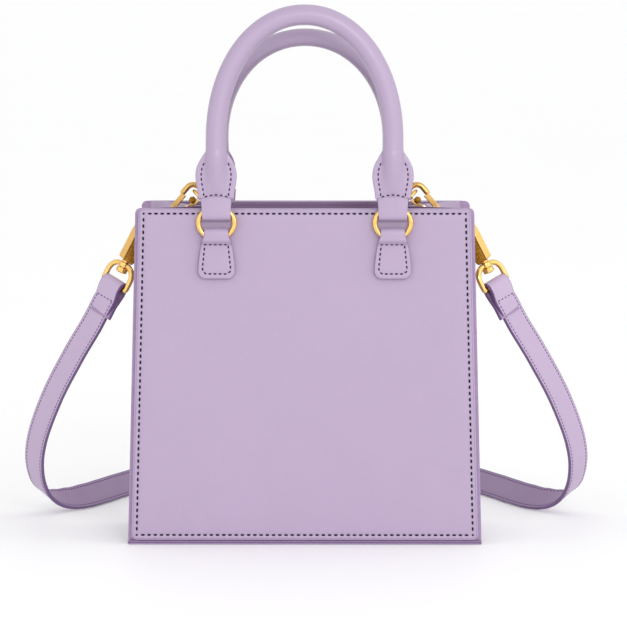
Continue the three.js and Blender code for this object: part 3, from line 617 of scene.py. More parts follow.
def make_panel(name, rear):
    bottom = (BASE_THICKNESS + CLEARANCE) / math.cos(PANEL_LEAN)
    top = BODY_HEIGHT / math.cos(PANEL_LEAN)
    low = half_width(BASE_THICKNESS + CLEARANCE) - SEAM_REVEAL
    high = half_width(BODY_HEIGHT) - SEAM_REVEAL
    points, faces, kinds, lines = plate(low, high, bottom, top, PANEL_THICKNESS, PANEL_CORNER, 0.6,
                                        stitched=True, puff=PLATE_PUFF)
    # The back of each panel, inside the bag, takes the inner leather darkened as painted shade.
    piece(name, panel_place(points, rear), faces, [body_leather, body_leather, painted_shade_inner_leather],
          [name], face_looks=kinds)

    def surface(u, v, height=-0.13):
        return panel_place(np.stack([u, np.full_like(u, height), v], -1), rear)

    parts = []
    length, width = PANEL_STITCH["length"], PANEL_STITCH["width"]
    for line in lines:
        spots, ways = along_line(line, PANEL_STITCH["pitch"], from_corner=True)
        here = surface(spots[:, 0], spots[:, 1])
        there = surface(spots[:, 0] + ways[:, 0], spots[:, 1] + ways[:, 1])
        outward = surface(spots[:, 0], spots[:, 1], height=1.0) - here
        parts.append(stitch_mesh(here[1:], (there - here)[1:], outward[1:], length, width))
        parts.append(stitch_mesh(here[:1], (there - here)[:1], outward[:1], length * 0.55, width * 1.1))
    points, faces = join_parts(parts)
    piece(name + "_stitches", points, faces, [dark_thread])


make_panel("front_panel", False)
make_panel("back_panel", True)


def make_base():
    half_x, half_y = BASE_WIDTH / 2, BASE_DEPTH / 2
    points, faces, kinds, _ = plate(half_x, half_x, -half_y, half_y, BASE_THICKNESS, PANEL_CORNER / 2,
                                    1.2, stitched=False, puff=0.0)
    placed = np.stack([points[:, 0], -points[:, 2], -points[:, 1]], 1)
    piece("base_panel", placed, faces, [body_leather, paint, lining], ["base_panel"],
          face_looks=kinds)


make_base()


# Folded sides


def rounded_path(corners, radii, steps=6):
    """A polyline with its inner corners rounded by short curves."""
    corners = [np.asarray(c, float) for c in corners]
    path = [corners[0]]
    for i in range(1, len(corners) - 1):
        before, here, after = corners[i - 1], corners[i], corners[i + 1]
        reach = min(radii[i - 1], np.linalg.norm(before - here) * 0.45, np.linalg.norm(after - here) * 0.45)
        start = here + unit(before - here) * reach
        end = here + unit(after - here) * reach
        for k in range(steps + 1):
            t = k / steps
            path.append((1 - t) ** 2 * start + 2 * t * (1 - t) * here + t * t * end)
    path.append(corners[-1])
    return np.array(path)


def thicken(path, thickness, rim=4):
    """Outline of a sheet of an even thickness along a flat path, with round ends."""
    along = unit(np.gradient(path, axis=0))
    side = np.stack([-along[:, 1], along[:, 0]], 1)
    one = path + side * thickness / 2
    other = path - side * thickness / 2
    angles = np.linspace(0, math.pi, rim + 2)[1:-1]
    end = np.array([path[-1] + thickness / 2 * (math.cos(a) * side[-1] + math.sin(a) * along[-1] * 0.6)
                    for a in angles])
    start = np.array([path[0] - thickness / 2 * (math.cos(a) * side[0] + math.sin(a) * along[0] * 0.6)
                      for a in angles])
    return np.concatenate([one, end, other[::-1], start])


def side_ring(z, tip_inset):
    thick = SIDE_THICKNESS
    tip = half_width(z) - tip_inset - 0.5
    wall = half_width(z) - SEAM_ALLOWANCE - thick / 2
    face = half_depth(z) - PANEL_THICKNESS - CLEARANCE - thick / 2
    share = (z - BODY_HEIGHT + FOLD_HEIGHT) / FOLD_HEIGHT
    fold = FOLD_DEPTH * max(0.0, share)
    crease = -FOLD_FORWARD * half_depth(z)
    bulge = 1.2 * math.sin(math.pi * np.clip(share, 0, 1))
    corners = [(tip, -face), (wall, -face), (wall - fold * 0.5 + bulge, (crease - face) / 2),
               (wall - fold, crease),
               (wall - fold * 0.5 + bulge, (crease + face) / 2), (wall, face), (tip, face)]
    path = rounded_path(corners, [2.4, 9.0, 3.0, 14.0, 2.4])
    return thicken(path, thick)


def make_side(name, side):
    start = BASE_THICKNESS + CLEARANCE
    heights = np.concatenate([[start, start + 0.3], np.linspace(start + 1.5, BODY_HEIGHT - 4, 52),
                              BODY_HEIGHT - np.array([3.0, 2.2, 1.5, 0.9, 0.45, 0.15, 0.0])])
    rings = []
    for z in heights:
        from_top = BODY_HEIGHT - z
        corner = max(0.0, PANEL_CORNER - from_top)
        inset = PANEL_CORNER - math.sqrt(max(0.0, PANEL_CORNER ** 2 - corner ** 2))
        flat = side_ring(z, inset)
        rings.append(np.stack([side * flat[:, 0], flat[:, 1], np.full(len(flat), z)], 1))
    size = len(rings[0])
    inner_count = (size - 8) // 2
    # Faces inside the bag take the inner leather darkened as painted shade.
    kinds = []
    for ring, z in zip(rings[:-1], heights[:-1]):
        # Faces past the sewn line, the flange strip and its tip, take edge paint darkened as painted shade.
        sewn = half_width(z) - SEAM_REVEAL - 1.0
        for i in range(size):
            if abs(ring[i][0]) > sewn:
                kinds.append(1)
            else:
                kinds.append(2 if i < inner_count else 0)
    kinds += [0, 0]
    points = np.concatenate(rings)
    faces = ring_faces(len(rings), size)
    piece(name, points, faces, [body_leather, side_edge_paint_and_shade, painted_shade_inner_leather], [name],
          face_looks=kinds)
    parts = []
    for sign in (-1, 1):
        zs = np.linspace(start + 3, BODY_HEIGHT - 5, 200)
        flange = np.array([half_width(z) - SEAM_REVEAL - PANEL_STITCH["inset"] for z in zs])
        depth = np.array([half_depth(z) - PANEL_THICKNESS - CLEARANCE - SIDE_THICKNESS for z in zs])
        line = np.stack([side * flange, sign * depth, zs], 1)
        spots, ways = along_line(line, PANEL_STITCH["pitch"])
        outward = np.tile([0.0, -sign, 0.0], (len(spots), 1))
        parts.append(stitch_mesh(spots, ways, outward, PANEL_STITCH["length"], PANEL_STITCH["width"]))
    points, faces = join_parts(parts)
    piece(name + "_stitches", points, faces, [dark_thread])


make_side("side_left", -1)
make_side("side_right", 1)


# Face fittings: tabs, rings, handles. Local places are across, out from the panel, up.


def on_face(points, rear=False, lean=0.0):
    """From (across, out, up) on a face to space, leaned towards the mouth when asked."""
    points = np.asarray(points, float)
    across, out, up = points[..., 0], points[..., 1], points[..., 2]
    if lean > 0:
        angle = math.radians(lean)
        length = LEAN_END - LEAN_START
        turned = angle * np.clip(up - LEAN_START, 0, length) / length
        below = np.minimum(up, LEAN_START)
        above = np.maximum(0, up - LEAN_END)
        radius = length / angle
        inward = radius * (1 - np.cos(turned)) + above * np.sin(turned)
        rise = below + radius * np.sin(turned) + above * np.cos(turned)
        offset = out - RING_OUT
        out = RING_OUT - inward + offset * np.cos(turned)
        up = rise + offset * np.sin(turned)
    placed = np.stack([across, -half_depth(up) - out, up], -1)
    return placed * TURN_ROUND if rear else placed


def path_distance(u, v, line):
    """Least distance from places (u, v) to a polyline."""
    best = np.full(np.broadcast(u, v).shape, 1e9)
    for (x0, y0), (x1, y1) in zip(line[:-1], line[1:]):
        dx, dy = x1 - x0, y1 - y0
        t = np.clip(((u - x0) * dx + (v - y0) * dy) / (dx * dx + dy * dy), 0, 1)
        best = np.minimum(best, np.hypot(u - x0 - t * dx, v - y0 - t * dy))
    return best


def sewn_relief(edge, line, rim=0.55, puff=0.22):
    """Height of sewn leather from its distances to the edge and to the stitch line."""
    round_rim = 1 - np.clip(edge / 0.9, 0, 1)
    height = -rim * (1 - np.sqrt(1 - round_rim ** 2))
    height = height - 0.24 * np.exp(-(line / 0.55) ** 2)
    return height + puff * (1 - np.exp(-(edge / 3.2) ** 2))


FRONT_POINTS, BACK_POINTS = 40, 16
EDGE_STEPS = np.array([0.0, 0.06, 0.16, 0.32, 0.55, 0.85, 1.2, 1.7, 2.3, 2.7, 3.1, 3.5, 3.9, 4.5])
FRONT_ANGLES = (np.arange(FRONT_POINTS) + 0.5) * math.pi / FRONT_POINTS
BACK_ANGLES = math.pi + (np.arange(BACK_POINTS) + 0.5) * math.pi / BACK_POINTS


def front_offsets(half, roundness):
    """Places across the front of a section, close together near its edges where it is flat."""
    steps = EDGE_STEPS * min(1.0, half / 8.0)
    inner = half - steps[-1]
    middle = np.linspace(inner, -inner, FRONT_POINTS - 2 * len(steps) + 2)[1:-1]
    flat = np.concatenate([half - steps, middle, (steps - half)[::-1]])
    return lerp(flat, half * np.cos(FRONT_ANGLES), roundness)


# Flared end of a handle from its bottom up. Width is a share of the paddle's width, ridge and
# back are shares of the tube's radius, and edge is a share of the paddle's thickness.
PADDLE = [
    dict(up=0.00, width=0.85, ridge=0.05, back=0.0, edge=1.0),
    dict(up=0.10, width=0.875, ridge=0.16, back=0.0, edge=1.0),
    dict(up=0.19, width=0.92, ridge=0.30, back=0.0, edge=1.0),
    dict(up=0.30, width=0.97, ridge=0.48, back=0.0, edge=1.0),
    dict(up=0.38, width=0.99, ridge=0.60, back=0.0, edge=1.0),
    dict(up=0.49, width=0.96, ridge=0.72, back=0.0, edge=1.0),
    dict(up=0.60, width=0.85, ridge=0.80, back=0.05, edge=1.0),
    dict(up=0.68, width=0.72, ridge=0.86, back=0.20, edge=0.9),
    dict(up=0.74, width=0.61, ridge=0.91, back=0.40, edge=0.7),
    dict(up=0.785, width=0.525, ridge=0.95, back=0.60, edge=0.4),
    dict(up=0.82, width=0.50, ridge=0.97, back=0.75, edge=0.15),
    dict(up=0.89, width=0.497, ridge=0.99, back=0.85, edge=0.05),
    dict(up=1.00, width=0.496, ridge=1.0, back=1.0, edge=0.0),
]
PADDLE_ARCH = 1.4
PADDLE_LINE_INSET = 3.2
PADDLE_LINE_TOP = 0.62
REAR_PADDLE = 0.74
# The strip behind a paddle from its free end down: shares of the paddle's height and width
STRIP = [
    dict(up=0.74, width=0.24, thick=1.2),
    dict(up=0.66, width=0.34, thick=1.7),
    dict(up=0.6, width=0.46, thick=2.2),
    dict(up=0.54, width=0.66, thick=2.5),
    dict(up=0.44, width=0.9, thick=2.6),
    dict(up=0.3, width=0.93, thick=2.6),
    dict(up=0.18, width=0.86, thick=2.6),
    dict(up=0.08, width=0.78, thick=2.5),
    dict(up=0.0, width=0.71, thick=2.2),
]
NECK_HALF = 8.7
NECK_THICKNESS = 1.7
RIM_STEPS = np.array([0.0, 0.06, 0.16, 0.32, 0.55, 0.85, 1.2, 1.7, 2.2, 2.7, 3.2])
FAR_FROM_LINE = 9.0


def width_share(radius):
    """The rear handle, told by its thinner tube, has narrower paddles."""
    return REAR_PADDLE if radius < HANDLE_RADIUS else 1.0


def paddle_row(share, radius):
    """Half width, ridge, back ridge and plate thickness at a share of a paddle's height."""
    width, ridge, back, edge = smooth_table(PADDLE, ("up", "width", "ridge", "back", "edge"), [share])
    half = max(float(width[0]) * (PADDLE_WIDTH * width_share(radius)) / 2, radius)
    return half, float(ridge[0]) * radius, float(back[0]) * radius, float(edge[0]) * PADDLE_THICKNESS


def paddle_line(radius):
    """Stitch line of a paddle: down one side, arched across the bottom and up the other."""
    side = []
    for share in np.linspace(PADDLE_LINE_TOP, 0.1, 20):
        half = paddle_row(share, radius)[0]
        side.append((half - PADDLE_LINE_INSET, PADDLE_BOTTOM + share * PADDLE_HEIGHT))
    corner = PADDLE_BOTTOM + 1.0
    reach = paddle_row(0.03, radius)[0] - PADDLE_LINE_INSET
    across = np.linspace(reach, -reach, 13)
    arch = [(a, corner + PADDLE_ARCH * (1 - (a / reach) ** 2)) for a in across]
    return np.array(side + arch + [(-u, v) for u, v in reversed(side)])


def paddle_front(offset, share, radius, line):
    """Height of a paddle's front over its middle plane, at places across it."""
    half, ridge, _, thick = paddle_row(share, radius)
    blend = float(np.clip(1.15 - 1.2 * share, 0, 1))
    round_top = np.sqrt(np.maximum(0, 1 - (offset / radius) ** 2))
    soft_top = 0.5 + 0.5 * np.cos(math.pi * np.clip(np.abs(offset) / (1.25 * radius), 0, 1))
    flat = float(np.clip(thick / PADDLE_THICKNESS, 0, 1))
    up = PADDLE_BOTTOM + share * PADDLE_HEIGHT
    edge = np.minimum(half - np.abs(offset), share * PADDLE_HEIGHT)
    relief = sewn_relief(edge, path_distance(offset, up, line)) * flat
    return thick / 2 + ridge * lerp(round_top, soft_top, blend) + relief


def handle_rings(radius):
    """Rings of points from the strip's inner end, round the ring and up a left paddle."""
    left = -HANDLE_SPACING / 2
    line = paddle_line(radius)
    rings, painted = [], []

    def add(out, up, normal, half, front, back, roundness=0.0, arch=0.0):
        """Add a ring: heights of its front and back are functions of the place across."""
        across = np.concatenate([front_offsets(half, roundness), half * np.cos(BACK_ANGLES)])
        heights = np.concatenate([front(across[:FRONT_POINTS]), -back(across[FRONT_POINTS:])])
        lift = arch * (1 - (across / half) ** 2)
        centre = np.array([left, out, up])
        place = centre + np.outer(-across, X) + np.outer(heights, normal) + np.outer(lift, Z)
        rings.append(place)
        painted.append(roundness < 0.5)

    def strip(thick, half, crown=0.0):
        def front(offset):
            edge = half - np.abs(offset)
            far = np.full(len(offset), FAR_FROM_LINE)
            return thick / 2 + sewn_relief(edge, far, thick * 0.3, crown)
        return front, lambda offset: np.full(len(offset), thick / 2)

    loop_half = LOOP_WIDTH / 2
    behind = TUBE_OUT - PADDLE_THICKNESS / 2 - 0.2
    for row in STRIP:
        thick = row["thick"]
        half = row["width"] * width_share(radius) * PADDLE_WIDTH / 2
        add(behind - thick / 2, PADDLE_BOTTOM + row["up"] * PADDLE_HEIGHT, -Y, half, *strip(thick, half))
    slot_end = RING_CENTRE + RING_HEIGHT / 2 + CLEARANCE
    add(1.5, lerp(slot_end, PADDLE_BOTTOM, 0.5), -Y, loop_half, *strip(NECK_THICKNESS, loop_half))
    add(INNER_LAYER, slot_end, -Y, loop_half, *strip(LEATHER, loop_half))
    fold_up = LOOP_FOLD + LEATHER / 2 + FOLD_RADIUS
    for k in range(19):
        angle = math.pi + math.pi * k / 18
        normal = Y * math.cos(angle) + Z * math.sin(angle)
        crown = 0.25 * max(0.0, math.cos(angle))
        add(RING_OUT + FOLD_RADIUS * math.cos(angle), fold_up + FOLD_RADIUS * math.sin(angle), normal,
            loop_half, *strip(LEATHER, loop_half, crown))
    front = TUBE_OUT + PADDLE_THICKNESS / 2
    low_face, high_face = OUTER_LAYER + LEATHER / 2, front - 0.95
    for t in (0.15, 0.3, 0.45, 0.6, 0.75, 0.88):
        half = lerp(loop_half, NECK_HALF, t ** 1.5)
        thick = lerp(LEATHER, NECK_THICKNESS, t)
        face = lerp(low_face, high_face, t * t * (3 - 2 * t))
        up = lerp(fold_up, PADDLE_BOTTOM, t)
        add(face - thick / 2, up, Y, half, *strip(thick, half, 0.3 + 0.25 * t), arch=PADDLE_ARCH * t ** 4)
    add(high_face - NECK_THICKNESS / 2, PADDLE_BOTTOM + 0.2, Y, NECK_HALF,
        *strip(NECK_THICKNESS, NECK_HALF, 0.5), arch=PADDLE_ARCH)
    shares = np.concatenate([RIM_STEPS / PADDLE_HEIGHT, np.linspace(0.12, 0.84, 50), np.linspace(0.87, 1, 6)])
    for share in shares:
        half, _, back, thick = paddle_row(share, radius)
        roundness = float(np.clip((share - 0.7) / 0.2, 0, 1))

        def front_height(offset, share=share):
            return paddle_front(offset, share, radius, line)

        def back_height(offset, back=back, thick=thick):
            return thick / 2 + back * np.sqrt(np.maximum(0, 1 - (offset / radius) ** 2))

        arch = PADDLE_ARCH * max(0.0, 1 - share / 0.16)
        add(TUBE_OUT, PADDLE_BOTTOM + share * PADDLE_HEIGHT, Y, half, front_height, back_height,
            roundness, arch)
    return rings, painted


def arch_rings(radius):
    spring = PADDLE_BOTTOM + PADDLE_HEIGHT
    height = HANDLE_TOP - HANDLE_RADIUS - spring
    power = 2 / ARCH_FULLNESS
    angles = np.linspace(0, math.pi, 97)
    x = -np.sign(np.cos(angles)) * np.abs(np.cos(angles)) ** power * HANDLE_SPACING / 2
    up = spring + np.abs(np.sin(angles)) ** power * height
    path = np.stack([x, up], 1)
    along = unit(np.gradient(path, axis=0))
    round_angles = np.concatenate([FRONT_ANGLES, BACK_ANGLES])
    rings = []
    for p, a in zip(path[1:-1], along[1:-1]):
        side = np.array([-a[1], 0.0, a[0]])
        offsets = np.outer(radius * np.cos(round_angles), side) + np.outer(radius * np.sin(round_angles), Y)
        rings.append(np.array([p[0], TUBE_OUT, p[1]]) + offsets)
    return rings


def make_handle(name, rear, lean, radius):
    rings, painted = handle_rings(radius)
    middle = arch_rings(radius)
    other = [ring * MIRROR_X for ring in reversed(rings)]
    run = rings + middle + other
    painted = painted + [False] * len(middle) + painted[::-1]
    points = on_face(np.concatenate(run), rear, lean)
    count = FRONT_POINTS + BACK_POINTS
    rims = {0, 1, FRONT_POINTS - 3, FRONT_POINTS - 2, FRONT_POINTS - 1, count - 1}
    kinds = []
    for a, b in zip(painted[:-1], painted[1:]):
        kinds += [1 if a and b and i in rims else 0 for i in range(count)]
    kinds += [1, 1]
    sides = ("right", "left") if rear else ("left", "right")
    label = "back" if rear else "front"
    replaced = [f"handle_{label}"] + [f"handle_loop_{label}_{s}" for s in sides]
    piece(name, points, ring_faces(len(run), count), [handle_leather, paint], replaced,
          face_looks=kinds, sharp=50)
    line = paddle_line(radius)
    parts = []
    for side in (-1, 1):
        def surface(u, v, side=side):
            heights = []
            for offset, up in zip(u, v):
                share = (up - PADDLE_BOTTOM) / PADDLE_HEIGHT
                heights.append(TUBE_OUT + float(paddle_front(offset, share, radius, line)))
            return on_face(np.stack([side * HANDLE_SPACING / 2 + u, np.array(heights), v], -1), rear, lean)
        parts.append(surface_stitches(line, HANDLE_STITCH, surface, sink=0.02))
    points, faces = join_parts(parts)
    piece(name + "_stitches", points, faces, [mid_thread])


make_handle("handle_front", False, 0.0, HANDLE_RADIUS)
make_handle("handle_back", True, REAR_LEAN, REAR_HANDLE_RADIUS)


# Outline of a tab from its fold down: shares of its height and width
TAB = [
    dict(down=0.0, width=0.66),
    dict(down=0.13, width=0.66),
    dict(down=0.22, width=0.74),
    dict(down=0.32, width=0.82),
    dict(down=0.61, width=0.95),
    dict(down=0.85, width=1.0),
    dict(down=1.0, width=1.0),
]
TAB_CORNER = 4.4


def tab_full_half(up):
    """Half width of a tab at a height, before its lower corners are rounded."""
    down = (TAB_FOLD - up) / (TAB_FOLD - TAB_BOTTOM)
    return smooth_table(TAB, ("down", "width"), np.atleast_1d(down))[0] * TAB_WIDTH / 2


def tab_half(up):
    low = max(0.0, TAB_CORNER - (up - TAB_BOTTOM))
    return float(tab_full_half(up)[0]) - TAB_CORNER + math.sqrt(max(0.0, TAB_CORNER ** 2 - low ** 2))


def tab_edge_distance(u, up):
    side = tab_full_half(up) - np.abs(u)
    low = up - TAB_BOTTOM
    corner = TAB_CORNER - np.hypot(TAB_CORNER - side, TAB_CORNER - low)
    return np.where((side < TAB_CORNER) & (low < TAB_CORNER), corner, np.minimum(side, low))


def tab_out(up):
    """Middle of a tab's outer layer, out from the panel."""
    slot_end = RING_CENTRE - RING_HEIGHT / 2 - CLEARANCE
    share = np.clip((up - (slot_end - 1.3 * FOLD_RADIUS)) / (1.6 * FOLD_RADIUS), 0, 1)
    share = share * share * (3 - 2 * share)
    return lerp(INNER_LAYER + LAYER_STEP, OUTER_LAYER, share)


def tab_line():
    """Stitch line of a tab, with cut lower corners."""
    top, low = TAB_BOTTOM + 19.3, TAB_BOTTOM + 2.8
    half = [(6.5, top), (7.9, low + 3.2), (7.5, low + 1.2), (5.9, low)]
    return np.array(half + [(-u, v) for u, v in reversed(half)] + half[:1])


def tab_front(u, up):
    """Height of a tab's front over the middle of its outer layer."""
    edge = tab_edge_distance(u, up)
    return LEATHER / 2 + sewn_relief(edge, path_distance(u, up, tab_line()), 0.55, 0.3)


def make_tab(name, side, rear):
    middle = side * HANDLE_SPACING / 2
    fold_up = TAB_FOLD - LEATHER / 2 - FOLD_RADIUS
    rise = TAB_BOTTOM + np.concatenate([
        [0.0, 0.03, 0.1, 0.2, 0.35, 0.55, 0.8, 1.1, 1.5], np.linspace(1.95, fold_up - 0.3 - TAB_BOTTOM, 64)])
    steps = np.array([0.0, 0.05, 0.13, 0.26, 0.45, 0.7, 1.0, 1.4])
    back_count = 8
    rings = []

    def add(out, up, normal, half, height):
        inner_half = half - steps[-1]
        inner = np.linspace(inner_half, -inner_half, 36)[1:-1]
        front = np.concatenate([half - steps, inner, (steps - half)[::-1]])
        back = np.linspace(-half, half, back_count)
        offsets = np.concatenate([front, back])
        heights = np.concatenate([height(front), np.full(back_count, -LEATHER / 2)])
        rings.append(np.array([middle, out, up]) + np.outer(-offsets, X) + np.outer(heights, normal))

    def plain(offset, half):
        far = np.full(len(offset), FAR_FROM_LINE)
        return LEATHER / 2 + sewn_relief(half - np.abs(offset), far, 0.4, 0.25)

    for up in rise:
        half = tab_half(up)
        add(tab_out(up), up, Y, half, lambda u, up=up: tab_front(u, np.full(len(u), up)))
    half = tab_half(TAB_FOLD)
    for k in range(15):
        angle = math.pi * k / 14
        add(RING_OUT + FOLD_RADIUS * math.cos(angle), fold_up + FOLD_RADIUS * math.sin(angle),
            Y * math.cos(angle) + Z * math.sin(angle), half, lambda u: plain(u, half))
    for up in rise[::-6]:
        half = tab_half(up) - 0.35
        add(INNER_LAYER, up, -Y, half, lambda u, half=half: plain(u, half))
    count = len(rings[0])
    front_count = count - back_count
    rims = {0, 1, 2, front_count - 4, front_count - 3, front_count - 2, front_count - 1, count - 1}
    kinds = []
    for r in range(len(rings) - 1):
        kinds += [1 if r < 3 or i in rims else 0 for i in range(count)]
    kinds += [1, 1]
    points = on_face(np.concatenate(rings), rear)
    piece(name, points, ring_faces(len(rings), count), [body_leather, paint], [name],
          face_looks=kinds, sharp=55)

    def surface(u, v):
        outs = tab_out(v) + tab_front(u, v)
        return on_face(np.stack([middle + u, outs, v], -1), rear)

    points, faces = surface_stitches(tab_line(), TAB_STITCH, surface)
    piece(name + "_stitches", points, faces, [mid_thread])


def make_ring(name, side, rear):
    wide, tall = (RING_WIDTH - RING_WIRE) / 2, (RING_HEIGHT - RING_WIRE) / 2
    angles = np.arange(96) * 2 * math.pi / 96
    path = np.stack([side * HANDLE_SPACING / 2 + wide * np.cos(angles), np.full(96, RING_OUT),
                     RING_CENTRE + tall * np.sin(angles)], 1)
    points, faces = swept(path, RING_WIRE + RING_PLUMP, 20, Y)
    piece(name, on_face(points, rear), faces, [gold], [name])


for rear in (False, True):
    for side in (-1, 1):
        place = "left" if (side < 0) != rear else "right"
        label = "back" if rear else "front"
        make_tab(f"tab_{label}_{place}", side, rear)
        make_ring(f"ring_{label}_{place}", side, rear)


# Clasps, made for the left and mirrored. Places in a clasp: along, outward, towards the viewer.

HOOK_ALONG = CLASP_LENGTH - HOOK_RADIUS - HOOK_WIRE / 2
HOOK_SIDE = STEM_OUTER + HOOK_STEP - HOOK_WIRE / 2 - HOOK_RADIUS
HELD_ALONG = HOOK_ALONG + (HOOK_RADIUS - HOOK_WIRE / 2 - INNER_RING_WIRE / 2) / 2
HELD_SIDE = HOOK_SIDE + INNER_RING_WIRE / 4
PIVOT_ALONG = HOOK_ALONG - GATE_PIVOT_BACK
PIVOT_SIDE = HOOK_SIDE - GATE_PIVOT_IN


def fold_at(z):
    return FOLD_DEPTH * max(0.0, (z - BODY_HEIGHT + FOLD_HEIGHT) / FOLD_HEIGHT)


def crease_point(z):
    x = half_width(z) - SEAM_ALLOWANCE - SIDE_THICKNESS - fold_at(z)
    return np.array([-x, -FOLD_FORWARD * half_depth(z), z])


CREASE_TOP = crease_point(BODY_HEIGHT)
CREASE_FOOT = crease_point(BODY_HEIGHT - FOLD_HEIGHT)
CLASP_Y = CREASE_TOP[1] + CLASP_SETBACK
CLASP_ALONG = np.array([math.cos(CLASP_ANGLE), 0.0, math.sin(CLASP_ANGLE)])
CLASP_OUT = np.array([-math.sin(CLASP_ANGLE), 0.0, math.cos(CLASP_ANGLE)])
CLASP_FRONT = np.array([0.0, -1.0, 0.0])
HELD_WIRE = np.array([CREASE_TOP[0] - HELD_OUT, CLASP_Y, BODY_HEIGHT + HELD_RISE])
SWIVEL = HELD_WIRE - CLASP_ALONG * HELD_ALONG - CLASP_OUT * HELD_SIDE
POST_DOWN = np.array([-math.cos(POST_ANGLE), 0.0, -math.sin(POST_ANGLE)])
LEVEL = np.array([-POST_DOWN[2], 0.0, POST_DOWN[0]])
BAR_ACROSS = LEVEL * math.cos(LOOP_TURN) + CLASP_FRONT * math.sin(LOOP_TURN)
BAR_OUT = np.cross(POST_DOWN, BAR_ACROSS)
LOOP_START = BOSS_START + LOOP_WIRE / 2
BAR_CENTRE = SWIVEL + POST_DOWN * (LOOP_START + LOOP_HEIGHT)


def in_clasp(points):
    points = np.asarray(points, float)
    return (SWIVEL + points[..., :1] * CLASP_ALONG + points[..., 1:2] * CLASP_OUT
            + points[..., 2:3] * CLASP_FRONT)


def on_side(points, side):
    """The left-hand points, or their mirror image for the right."""
    return np.asarray(points) * np.array([-side, 1.0, 1.0])


# Clasp body in millimetres from the swivel: its outer and inner reach and its lit strip's width
CLASP_ROWS = [
    dict(along=-0.2, outer=5.3, inner=3.6, strip=3.4),
    dict(along=1.4, outer=5.7, inner=4.2, strip=3.4),
    dict(along=9.0, outer=7.5, inner=4.2, strip=3.4),
    dict(along=18.2, outer=9.5, inner=4.2, strip=3.4),
    dict(along=23.0, outer=9.6, inner=4.2, strip=3.4),
    dict(along=28.0, outer=7.3, inner=4.2, strip=3.4),
    dict(along=33.0, outer=3.2, inner=4.6, strip=3.4),
    dict(along=37.0, outer=1.6, inner=6.6, strip=3.0),
    dict(along=40.6, outer=1.2, inner=8.6, strip=2.9),
    dict(along=42.8, outer=1.2, inner=8.9, strip=2.9),
]


def clasp_section(outer, inner, strip):
    """Section of a clasp's foot: a lit slanting strip, then a broad front in gold darkened as a painted dark
    reflection.
    """
    front, back = 2.5, -2.5
    inner = -inner
    ridge = outer - strip
    return np.array([
        (outer, 0.15), (outer - 0.25, -1.7), (outer - 1.0, back), (inner + 0.9, back), (inner + 0.1, -1.8),
        (inner, 0.9), (inner + 0.5, 1.55), (lerp(inner, ridge, 0.5), 1.9), (ridge - 0.45, 2.2),
        (ridge, front), (ridge + 0.35, 2.45),
    ])


def clasp_body_parts():
    alongs = np.concatenate([[-0.2, 0.0, 0.3, 0.8, 1.4], np.linspace(3, 42.8, 40)])
    outer, inner, strip = smooth_table(CLASP_ROWS, ("along", "outer", "inner", "strip"), alongs)
    rings = []
    for a, o, i, s in zip(alongs, outer, inner, strip):
        section = clasp_section(o, i, s)
        if a < 0.3:
            middle = section.mean(0)
            section = middle + (section - middle) * lerp(0.93, 1.0, (a + 0.2) / 0.5)
        rings.append(np.column_stack([np.full(len(section), a), section]))
    size = len(rings[0])
    foot = np.concatenate(rings), ring_faces(len(rings), size)
    kinds = []
    for _ in range(len(rings) - 1):
        # The broad front, faces 5 to 8, takes the gold darkened as a painted dark reflection.
        kinds += [1 if i in (5, 6, 7, 8) else 0 for i in range(size)]
    kinds += [1, 0]
    return foot, kinds


def stem_part():
    """Straight stem with a flat brushed front and broken edges."""
    inner, outer = STEM_OUTER - STEM_WIDTH, STEM_OUTER
    alongs = [41.5, 42.0, 49.6, 50.2]
    section = np.array([(outer, 1.9), (outer, -1.9), (outer - 0.5, -2.4), (inner + 0.5, -2.4), (inner, -1.9),
                        (inner, 1.9), (inner + 0.5, 2.4), (outer - 0.5, 2.4)])
    rings = [np.column_stack([np.full(len(section), a), section]) for a in alongs]
    return np.concatenate(rings), ring_faces(len(rings), len(section))


def hook_part():
    """The hook, a round bar that starts as a collar on the stem and tapers at its tip."""
    start = HOOK_ALONG - 4.3
    path = [(start + d, HOOK_SIDE + HOOK_RADIUS) for d in (-0.5, 0.0, 0.5, 1.4, 2.6, 3.6)]
    for k in range(29):
        angle = math.pi / 2 - math.pi * k / 28
        path.append((HOOK_ALONG + HOOK_RADIUS * math.cos(angle), HOOK_SIDE + HOOK_RADIUS * math.sin(angle)))
    path.append((HOOK_ALONG - 1.0, HOOK_SIDE - HOOK_RADIUS))
    path = np.array(path)
    along = unit(np.gradient(path, axis=0))
    side = np.stack([-along[:, 1], along[:, 0]], 1)
    rings = []
    sides = 20
    angles = (np.arange(sides) + 0.5) * 2 * math.pi / sides
    for i, (point, way) in enumerate(zip(path, side)):
        share = i / (len(path) - 1)
        size = 1.0 if i > 1 else (0.7, 0.93)[i]
        if i > len(path) - 5:
            size = (0.97, 0.9, 0.78, 0.55)[i - len(path) + 4]
        deep = lerp(1.4, 1.0, min(1.0, share * 2.2))
        power = lerp(0.7, 1.0, min(1.0, share * 3))
        c, s = np.cos(angles), np.sin(angles)
        flat = np.sign(c) * np.abs(c) ** power * HOOK_WIRE / 2 * size
        front = np.sign(s) * np.abs(s) ** power * HOOK_WIRE / 2 * size * deep
        rings.append(np.column_stack([point[0] + way[0] * flat, point[1] + way[1] * flat, front]))
    return np.concatenate(rings), ring_faces(len(rings), sides)


